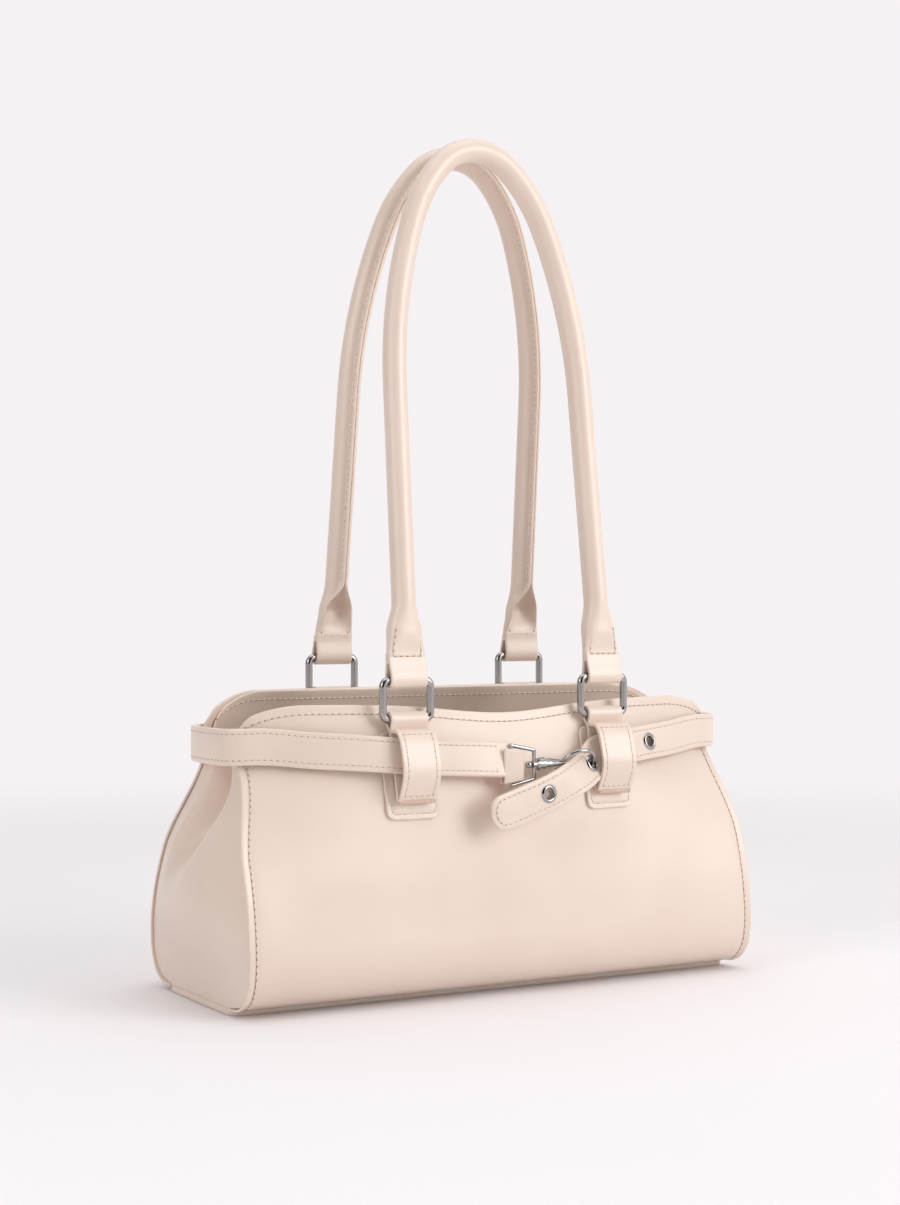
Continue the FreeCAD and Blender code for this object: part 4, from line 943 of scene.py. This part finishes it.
def arc(wide, deep, first, last, power, count):
    angles = np.radians(np.linspace(first, last, count))
    return [(wide * signed_power(np.cos(a), power), deep * signed_power(np.sin(a), power)) for a in angles]


# Outlines across the handle: the roll with its fin, the open spoon, and the flat tab.
fin_top = HANDLE_DIAMETER / 2 + FIN_HEIGHT
rolled_section = [(0.12 * i / 7, fin_top - 1.4 + 1.1 * i / 7) for i in range(8)]
rolled_section += [(0.35, fin_top), (0.8, fin_top), (1.2, fin_top - 0.1), (1.4, fin_top - 0.4),
                   (1.4, fin_top - 1.8), (1.4, fin_top - 3.1)]
rolled_section += arc(HANDLE_DIAMETER / 2, HANDLE_DIAMETER / 2, 76.5, -90, 1, 20)
open_section = [(6.9 * math.sin(math.radians(11 * i)), -3.2 + 6.4 * (1 - math.cos(math.radians(11 * i))))
                for i in range(8)]
open_section += [(6.9, 3.2), (7.1, 3.9), (7.6, 4.3), (8.1, 4.1), (8.5, 3.4), (8.7, 2.4)]
open_section += arc(8.8, 4.6, 16, -90, 0.8, 20)
flat_section = [(7.5 * i / 7, 2.0) for i in range(8)]
flat_section += [(8.3, 2.0), (8.9, 2.0), (9.4, 1.9), (9.75, 1.65), (9.95, 1.2), (10.0, 0.6)]
flat_section += arc(STRAP_WIDTH / 2, 2.0, 2, -90, 0.3, 20)
rolled_section, open_section, flat_section = (
    mirrored(half) for half in (rolled_section, open_section, flat_section))


def handle_half(rise, lowest, count):
    """Half of a handle's middle line, crown to foot: distance out, height, and slope angle."""
    crown, shoulder = math.radians(CROWN_ANGLE), math.radians(SHOULDER_ANGLE)
    leg, splay = math.radians(90 - LEG_SPLAY), math.radians(LEG_SPLAY)
    first = (CROWN_RADIUS * math.sin(crown), CROWN_RADIUS * (1 - math.cos(crown)))
    second = (first[0] + SHOULDER_RADIUS * (math.sin(shoulder) - math.sin(crown)),
              first[1] + SHOULDER_RADIUS * (math.cos(crown) - math.cos(shoulder)))
    wide = math.sin(leg) - math.sin(shoulder)
    tall = math.cos(shoulder) - math.cos(leg)
    room = CHAPE_X - second[0] - (rise - second[1]) * math.tan(splay)
    flank = room / (wide - tall * math.tan(splay))
    third = (second[0] + flank * wide, second[1] + flank * tall)
    arcs = [CROWN_RADIUS * crown, SHOULDER_RADIUS * (shoulder - crown), flank * (leg - shoulder)]
    straight = (rise - lowest - third[1]) / math.cos(splay)
    lengths = np.linspace(0, sum(arcs) + straight, count)
    marks = np.concatenate([[0], np.cumsum(arcs)])
    angle = np.interp(lengths, marks, [0, crown, shoulder, leg])
    starts = [(0.0, 0.0, 0.0), (*first, crown), (*second, shoulder)]
    out = third[0] + (lengths - marks[3]) * math.sin(splay)
    drop = third[1] + (lengths - marks[3]) * math.cos(splay)
    radii = (CROWN_RADIUS, SHOULDER_RADIUS, flank)
    for (x, y, begin), radius, low, high in zip(starts, radii, marks, marks[1:]):
        inside = (lengths >= low) & (lengths <= high)
        out = np.where(inside, x + radius * (np.sin(angle) - math.sin(begin)), out)
        drop = np.where(inside, y + radius * (math.cos(begin) - np.cos(angle)), drop)
    return out, rise - drop, angle


for side, name, rise, tilt in ((FRONT, "front", FRONT_HANDLE_RISE, FRONT_HANDLE_LEAN),
                               (BACK, "back", BACK_HANDLE_RISE, BACK_HANDLE_LEAN)):
    body = name + "_handle"
    tilt = math.radians(tilt)
    foot = np.array([0, bar_y(side), bar_height(side) + RING_PITCH])
    up = np.array([0, -side * math.sin(tilt), math.cos(tilt)])
    inward = np.array([0, -side * math.cos(tilt), -math.sin(tilt)])
    sideways = np.array([1.0, 0, 0])
    out, height, angle = handle_half(rise, TAB_END, 181)
    across = np.concatenate([-out[:0:-1], out])
    heights = np.concatenate([height[:0:-1], height])
    angles = np.concatenate([-angle[:0:-1], angle])
    middle_line = foot + across[:, None] * sideways + heights[:, None] * up
    along = np.cos(angles)[:, None] * sideways - np.sin(angles)[:, None] * up
    flat_way = np.cross(along, inward)
    shares = np.linspace(0, 1, len(middle_line))

    def on_handle(share, aside, inside):
        """Points at a share of a handle's length, moved aside in its plane and inwards."""
        return between(share, shares, middle_line) + between(share, shares, flat_way) * aside[:, None] \
            + inward * inside[:, None]

    def cover_point(u, v):
        high = np.interp(u, shares, heights)
        rolled = smooth((high - OPEN_HEIGHT) / (FIN_PART_HEIGHT - OPEN_HEIGHT))
        flat = 1 - smooth((high - FLAT_HEIGHT) / (OPEN_HEIGHT - FLAT_HEIGHT))
        place = np.linspace(0, 1, len(rolled_section))
        weights = ((rolled_section, rolled), (open_section, 1 - rolled - flat), (flat_section, flat))
        aside, inside = sum(weight[:, None] * between(v, place, section) for section, weight in weights).T
        return on_handle(u, aside, inside)

    cover = closed_tube(sheet(len(shares), len(rolled_section), cover_point))
    turn = [(FOLD_RADIUS * math.cos(math.radians(a)), FOLD_RADIUS * math.sin(math.radians(a)))
            for a in np.linspace(0, -180, 9)]
    leg = TAB_THICK / 2 - STRAP_THICK / 2
    loop = [(leg - 0.3, 13.4), (leg, 11.5), (leg + 0.15, 9), (leg + 0.9, 5)] + turn
    loop += [(-leg - 0.9, 5), (-leg - 0.15, 9), (-leg, 11.2)]
    loop = along_path(loop, np.linspace(0, 1, 90))
    tabs = []
    rows = []
    for end in (-1, 1):
        def tab_point(u, v):
            inside, above = between(v, np.linspace(0, 1, len(loop)), loop).T
            x = end * CHAPE_X + (2 * u - 1) * STRAP_WIDTH / 2
            return foot + x[:, None] * sideways + above[:, None] * up + inside[:, None] * inward

        tab = sheet(14, 90, tab_point)
        if side == FRONT:
            tab.data.flip_normals()
        thicken(tab, STRAP_THICK, BOTH_WAYS, 0.5)
        tabs.append(tab)
        half = STRAP_WIDTH / 2 - TAB_STITCH_INSET
        for face, top in TAB_STITCH_TOPS:
            x = np.concatenate([np.full(12, -half), np.linspace(-half, half, 12), np.full(12, half)])
            high = np.concatenate([np.linspace(top, TAB_CROSS_STITCH, 12), np.full(12, TAB_CROSS_STITCH),
                                   np.linspace(TAB_CROSS_STITCH, top, 12)])
            x = x * (1 - TAB_TAPER * np.clip(high - TAB_TAPER_START, 0, None))
            path = foot + (end * CHAPE_X + x)[:, None] * sideways + high[:, None] * up
            depth = TAB_THICK / 2 - STITCH_SUNK + SPOON_RISE * np.clip(high - FLAT_HEIGHT - 1, 0, None)
            path = path + inward * face * depth[:, None]
            rows.append((path, np.tile(inward * face, (len(path), 1))))
    pick(cover, *tabs)
    bpy.ops.object.join()
    dress(cover, name + "_leather_handle", leather, body, "leather", name + "_handle_cover")

    long = np.linspace(0, 1, 400)
    high = np.interp(long, shares, heights)
    long = long[high > FIN_PART_HEIGHT]
    for sign in (-1, 1):
        aside = np.full(len(long), sign * (FIN_LAYER + 0.02))
        inside = np.full(len(long), HANDLE_DIAMETER / 2 + FIN_HEIGHT * 0.4)
        rows.append((on_handle(long, aside, inside), between(long, shares, flat_way) * sign))
    sew(name + "_handle_stitching", body, rows, HANDLE_PITCH)

    def core_point(u, v):
        turn = 2 * np.pi * v
        share = CORE_START + (1 - 2 * CORE_START) * u
        groove = CORD_GROOVE * np.cos(CORD_STRANDS * turn + CORD_TWIST * u)
        radius = CORE_DIAMETER / 2 * (1 - CORD_GROOVE + groove)
        return on_handle(share, radius * np.cos(turn), radius * np.sin(turn))

    core = closed_tube(sheet(300, 25, core_point))
    dress(core, name + "_cotton_cord", lining_cloth, body, "cord", name + "_handle_core")

# Belt: a doubled leather strap with turned edges, sewn along both sides. It runs from the
# clasp loop round the bag through the four chapes and ends in a tongue held by the hook.
BELT_WIDTH = 17.6
BELT_THICK = 3.0
BELT_END_HEIGHT = 126.0
BELT_CLASP_HEIGHT = 114.5
BELT_END_REACH = 145.0
BELT_TURN = 128.0
BELT_STANDOFF = 3.4
BELT_LOOP_STANDOFF = 7.1
BELT_FOLD_END = 1.6
BELT_FOLD_LENGTH = 12.0
BELT_FOLD_TAPER = 1.6
FOLD_STRAIGHT = -6.0            # from here to its nose the fold is straight
PUNCH_LENGTH = 14
RIGHT_EYELET_X = 83.5
TONGUE_REACH = 64.0
TONGUE_TILT = 13.0              # where it leaves the chape
TIP_ROUND = 8.5
TIP_POWER = 2.4
EYELET_BARREL = 6.0
EYELET_HOLE = 5.2
EYELET_FLANGE = 9.2
EYELET_DOME = 0.6
CLASP_TILT = 46.0
CLASP_OUT = 9.4
CLASP_LOOP_LENGTH = 13.5
CLASP_LOOP_WIRE = 2.0
CLASP_BAR_X = -5.7
HOOK_MIDDLE = 25.3
HOOK_RADIUS = 9.2
HOOKED_ANGLE = -12.0
BELT_STITCH_INSET = 2.5
BELT_STITCH_START = 8.0         # from the folded end
BELT_PULL = 0.2
BELT_PITCH = 3.0


def belt_station(side, x):
    at_chape = bar_height(side) - BELT_FRONT_DROP
    middle = BELT_CLASP_HEIGHT if side == FRONT else at_chape
    far = (abs(x) - CHAPE_X) / (BELT_TURN - CHAPE_X)
    if abs(x) < CHAPE_X:
        z = middle + (at_chape - middle) * (abs(x) / CHAPE_X)
    else:
        z = at_chape + (BELT_END_HEIGHT - at_chape) * far
    away = smooth((abs(x) - CHAPE_X - STRAP_WIDTH / 2) / (BELT_TURN - CHAPE_X - STRAP_WIDTH))
    out = BELT_LOOP_STANDOFF + (BELT_STANDOFF - BELT_LOOP_STANDOFF) * away
    if side == FRONT:
        out += (CLASP_OUT - BELT_LOOP_STANDOFF) * smooth(1 - (abs(x) - BELT_FOLD_LENGTH) / (CHAPE_X / 2))
    x, z = np.float64(x), np.float64(z)
    slope = (reach(side, x, z + SLOPE_STEP) - reach(side, x, z - SLOPE_STEP)) / (2 * SLOPE_STEP)
    way = unit(np.array([0, side, -slope]))
    return np.array([x, side * reach(side, x, z), z]) + way * out, way


def belt_turn(end):
    half = abs(belt_station(FRONT, BELT_TURN)[0][1] - lean(BELT_END_HEIGHT))
    stations = []
    for degrees in (-45, -20, 0, 20, 45):
        angle = math.radians(degrees)
        forward = signed_power(math.sin(angle), 0.8)
        x = BELT_TURN + (BELT_END_REACH - BELT_TURN) * math.cos(angle) ** 0.7
        point = np.array([end * x, lean(BELT_END_HEIGHT) + half * forward, BELT_END_HEIGHT])
        stations.append((point, np.array([end * math.cos(angle), math.sin(angle), 0])))
    return stations


clasp_x = CLASP_BAR_X + CLASP_LOOP_LENGTH
clasp_y = -reach(FRONT, np.float64(clasp_x), np.float64(BELT_CLASP_HEIGHT)) - CLASP_OUT
clasp_point = np.array([clasp_x, clasp_y, BELT_CLASP_HEIGHT])
hook_angle, hook_tilt = math.radians(HOOKED_ANGLE), math.radians(CLASP_TILT)
hook_up = np.array([0, -math.sin(hook_tilt), math.cos(hook_tilt)])
hooked = clasp_point + np.array([HOOK_MIDDLE + HOOK_RADIUS * math.cos(hook_angle), 0, 0]) \
    + hook_up * HOOK_RADIUS * math.sin(hook_angle)
start, start_way = belt_station(FRONT, CHAPE_X)
leaving_tilt = math.radians(TONGUE_TILT)
tongue = [(start, start_way),
          (start * 0.55 + hooked * 0.45 + np.array([0, 0.67, 0.53]) * BELT_THICK,
           np.array([0, -math.cos(leaving_tilt), math.sin(leaving_tilt)])),
          (hooked, np.array([0.4, -0.85, 0.5]))]
hanging = [((-0.18, -0.091, -0.081), (0.14, -0.95, 0.27)), ((-0.328, -0.125, -0.139), (0.1, -1.0, 0.06)),
           ((-0.492, -0.147, -0.197), (0.04, -1.0, 0.0)), ((-0.734, -0.156, -0.275), (0.0, -1.0, 0.0)),
           ((-1.0, -0.166, -0.353), (0.0, -1.0, 0.0))]    # shares of its reach, and ways its face looks
tongue += [(hooked + np.array(step) * TONGUE_REACH, np.array(way)) for step, way in hanging]
beyond = np.linspace(CHAPE_X, BELT_TURN, 5)
left_places = [-BELT_FOLD_LENGTH / 2, -0.4 * CHAPE_X, -0.7 * CHAPE_X, *-beyond]
back_places = [*-beyond[::-1], -CHAPE_X / 2, 0.0, CHAPE_X / 2, *beyond]
right_places = [BELT_TURN, (BELT_TURN + RIGHT_EYELET_X) / 2, RIGHT_EYELET_X, (RIGHT_EYELET_X + CHAPE_X) / 2]
stations = [belt_station(FRONT, x) for x in left_places] + belt_turn(LEFT)
stations += [belt_station(BACK, x) for x in back_places] + belt_turn(RIGHT)[::-1]
stations += [belt_station(FRONT, x) for x in right_places] + tongue
belt_points = np.array([point for point, way in stations])
belt_ways = np.array([way for point, way in stations])
belt_runs = lengths_along(belt_points)
belt_tip = belt_runs[-1]


def belt_frame(lengths):
    """Place, and ways along, up and out, at lengths along the belt."""
    place, before, after = (spline_at(belt_points, belt_runs, lengths + step)
                            for step in (0, -SLOPE_STEP, SLOPE_STEP))
    along = unit(after - before)
    index = np.clip(np.searchsorted(belt_runs, lengths) - 1, 0, len(belt_runs) - 2)
    share = smooth((lengths - belt_runs[index]) / (belt_runs[index + 1] - belt_runs[index]))[:, None]
    way = belt_ways[index] * (1 - share) + belt_ways[index + 1] * share
    up = unit(np.cross(along, way))
    return place, along, up, unit(np.cross(up, along))


def belt_point(u, v):
    lengths = belt_tip * u
    into_tip = np.clip((lengths - belt_tip + TIP_ROUND) / TIP_ROUND, 0, 1)
    narrow = np.maximum(1 - into_tip ** TIP_POWER, 0) ** (1 / TIP_POWER)
    turn = 2 * np.pi * v
    high = BELT_WIDTH / 2 * np.maximum(narrow, 0.02) * signed_power(np.cos(turn), 0.3)
    rounded = signed_power(np.sin(turn), 0.45)
    edge = BELT_WIDTH / 2 * narrow - np.abs(high)
    pulled = drawn_in(edge, BELT_STITCH_INSET, BELT_PULL, STRAP_PULL_WIDTH)
    thick = (BELT_THICK / 2 * np.maximum(narrow, 0.3) - pulled) * rounded
    place, along, up, out = belt_frame(lengths)
    return place + up * high[:, None] + out * thick[:, None]


def eyelet_collar(place, along, up, out):
    """Pressed collar with a domed front, set through the belt at one place."""
    face = BELT_THICK / 2 + LAYER_GAP
    bore, barrel, flange = EYELET_HOLE / 2, EYELET_BARREL / 2 - 0.05, EYELET_FLANGE / 2
    dome = [(bore + (flange - bore) * s, face + EYELET_DOME * (1 - abs(2 * s - 0.9) ** 2.2) + 0.05)
            for s in np.linspace(0, 1, 9)]
    profile = np.array([(bore, 0), *dome, (flange, face + 0.02), (barrel, face), (barrel, -face),
                        (flange, -face - 0.02), (flange - 0.4, -face - 0.4), (bore, -face - 0.45), (bore, 0)])

    def collar_point(u, v):
        turn = 2 * np.pi * u
        radius, height = between(v, np.linspace(0, 1, len(profile)), profile).T
        aside = np.cos(turn)[:, None] * along + np.sin(turn)[:, None] * up
        return place + aside * radius[:, None] + out * height[:, None]

    return closed_tube(sheet(48, len(profile), collar_point), 40)


belt = closed_tube(sheet(520, 41, belt_point))
tongue_first = len(stations) - len(tongue)
collars = []
for index in (tongue_first - 2, tongue_first + 2, tongue_first + 5):
    place, along, up, out = belt_frame(belt_runs[index:index + 1])
    collars.append(eyelet_collar(place[0], along[0], up[0], out[0]))
    bpy.ops.object.select_all(action="DESELECT")
    bpy.ops.mesh.primitive_cylinder_add(vertices=32, radius=EYELET_BARREL / 2 * MM, depth=PUNCH_LENGTH * MM)
    punch = bpy.context.object
    turned = np.stack([up[0], along[0], out[0]])
    spots = np.array([vertex.co for vertex in punch.data.vertices]) @ turned + place[0] * MM
    punch.data.vertices.foreach_set("co", spots.ravel())
    punch.data.update()
    cut_out(belt, punch)
smooth_by_angle(belt, 45)
pick(*collars)
bpy.ops.object.join()
dress(collars[0], "nickel_eyelets", nickel, "bag", "polished_nickel", "belt_eyelets")

pocket = CLASP_LOOP_WIRE / 2 + BAR_CLEARANCE + STRAP_THICK / 2
bar_place = clasp_point - np.array([CLASP_LOOP_LENGTH, 0, 0])
fold_start = BELT_FOLD_END - BELT_FOLD_LENGTH
nose = BELT_FOLD_END - STRAP_THICK / 2 - pocket
fold_line = [(fold_start, pocket - 0.5), (FOLD_STRAIGHT, pocket), (nose, pocket)]
fold_line += [(nose + pocket * math.sin(math.radians(a)), pocket * math.cos(math.radians(a)))
              for a in (30, 60, 90, 120, 150)]
fold_line += [(nose, -pocket), (FOLD_STRAIGHT, -pocket), (fold_start, -pocket + 0.5)]
fold_line = along_path(fold_line, np.linspace(0, 1, 50))


def fold_point(u, v):
    x, y = between(v, np.linspace(0, 1, len(fold_line)), fold_line).T
    tall = BELT_WIDTH / 2 - BELT_FOLD_TAPER * (x - fold_start) / BELT_FOLD_LENGTH
    return np.stack([x, bar_place[1] + y, bar_place[2] + (2 * u - 1) * tall], -1)


fold = thicken(sheet(14, 50, fold_point), STRAP_THICK, BOTH_WAYS, 0.45)
pick(belt, fold)
bpy.ops.object.join()
dress(belt, "leather_belt", leather, "bag", "leather", "belt")

edge = BELT_WIDTH / 2 - BELT_STITCH_INSET
face = BELT_THICK / 2 - BELT_PULL
place, along, up, out = belt_frame(np.linspace(BELT_STITCH_START, belt_tip - TIP_ROUND, 900))
lines = [(place + up * edge * sign + out * face, out) for sign in (-1, 1)]
angles = np.linspace(-math.pi / 2, math.pi / 2, 24)
place, along, up, out = belt_frame(
    belt_tip - TIP_ROUND + (TIP_ROUND - BELT_STITCH_INSET) * np.cos(angles) ** 0.8)
lines.append((place + up * (edge * np.sin(angles))[:, None] + out * face, out))
place, along, up, out = belt_frame(np.full(12, BELT_STITCH_START))
lines.append((place + up * np.linspace(-edge, edge, 12)[:, None] + out * face, out))
sew("belt_stitching", "bag", lines, BELT_PITCH)
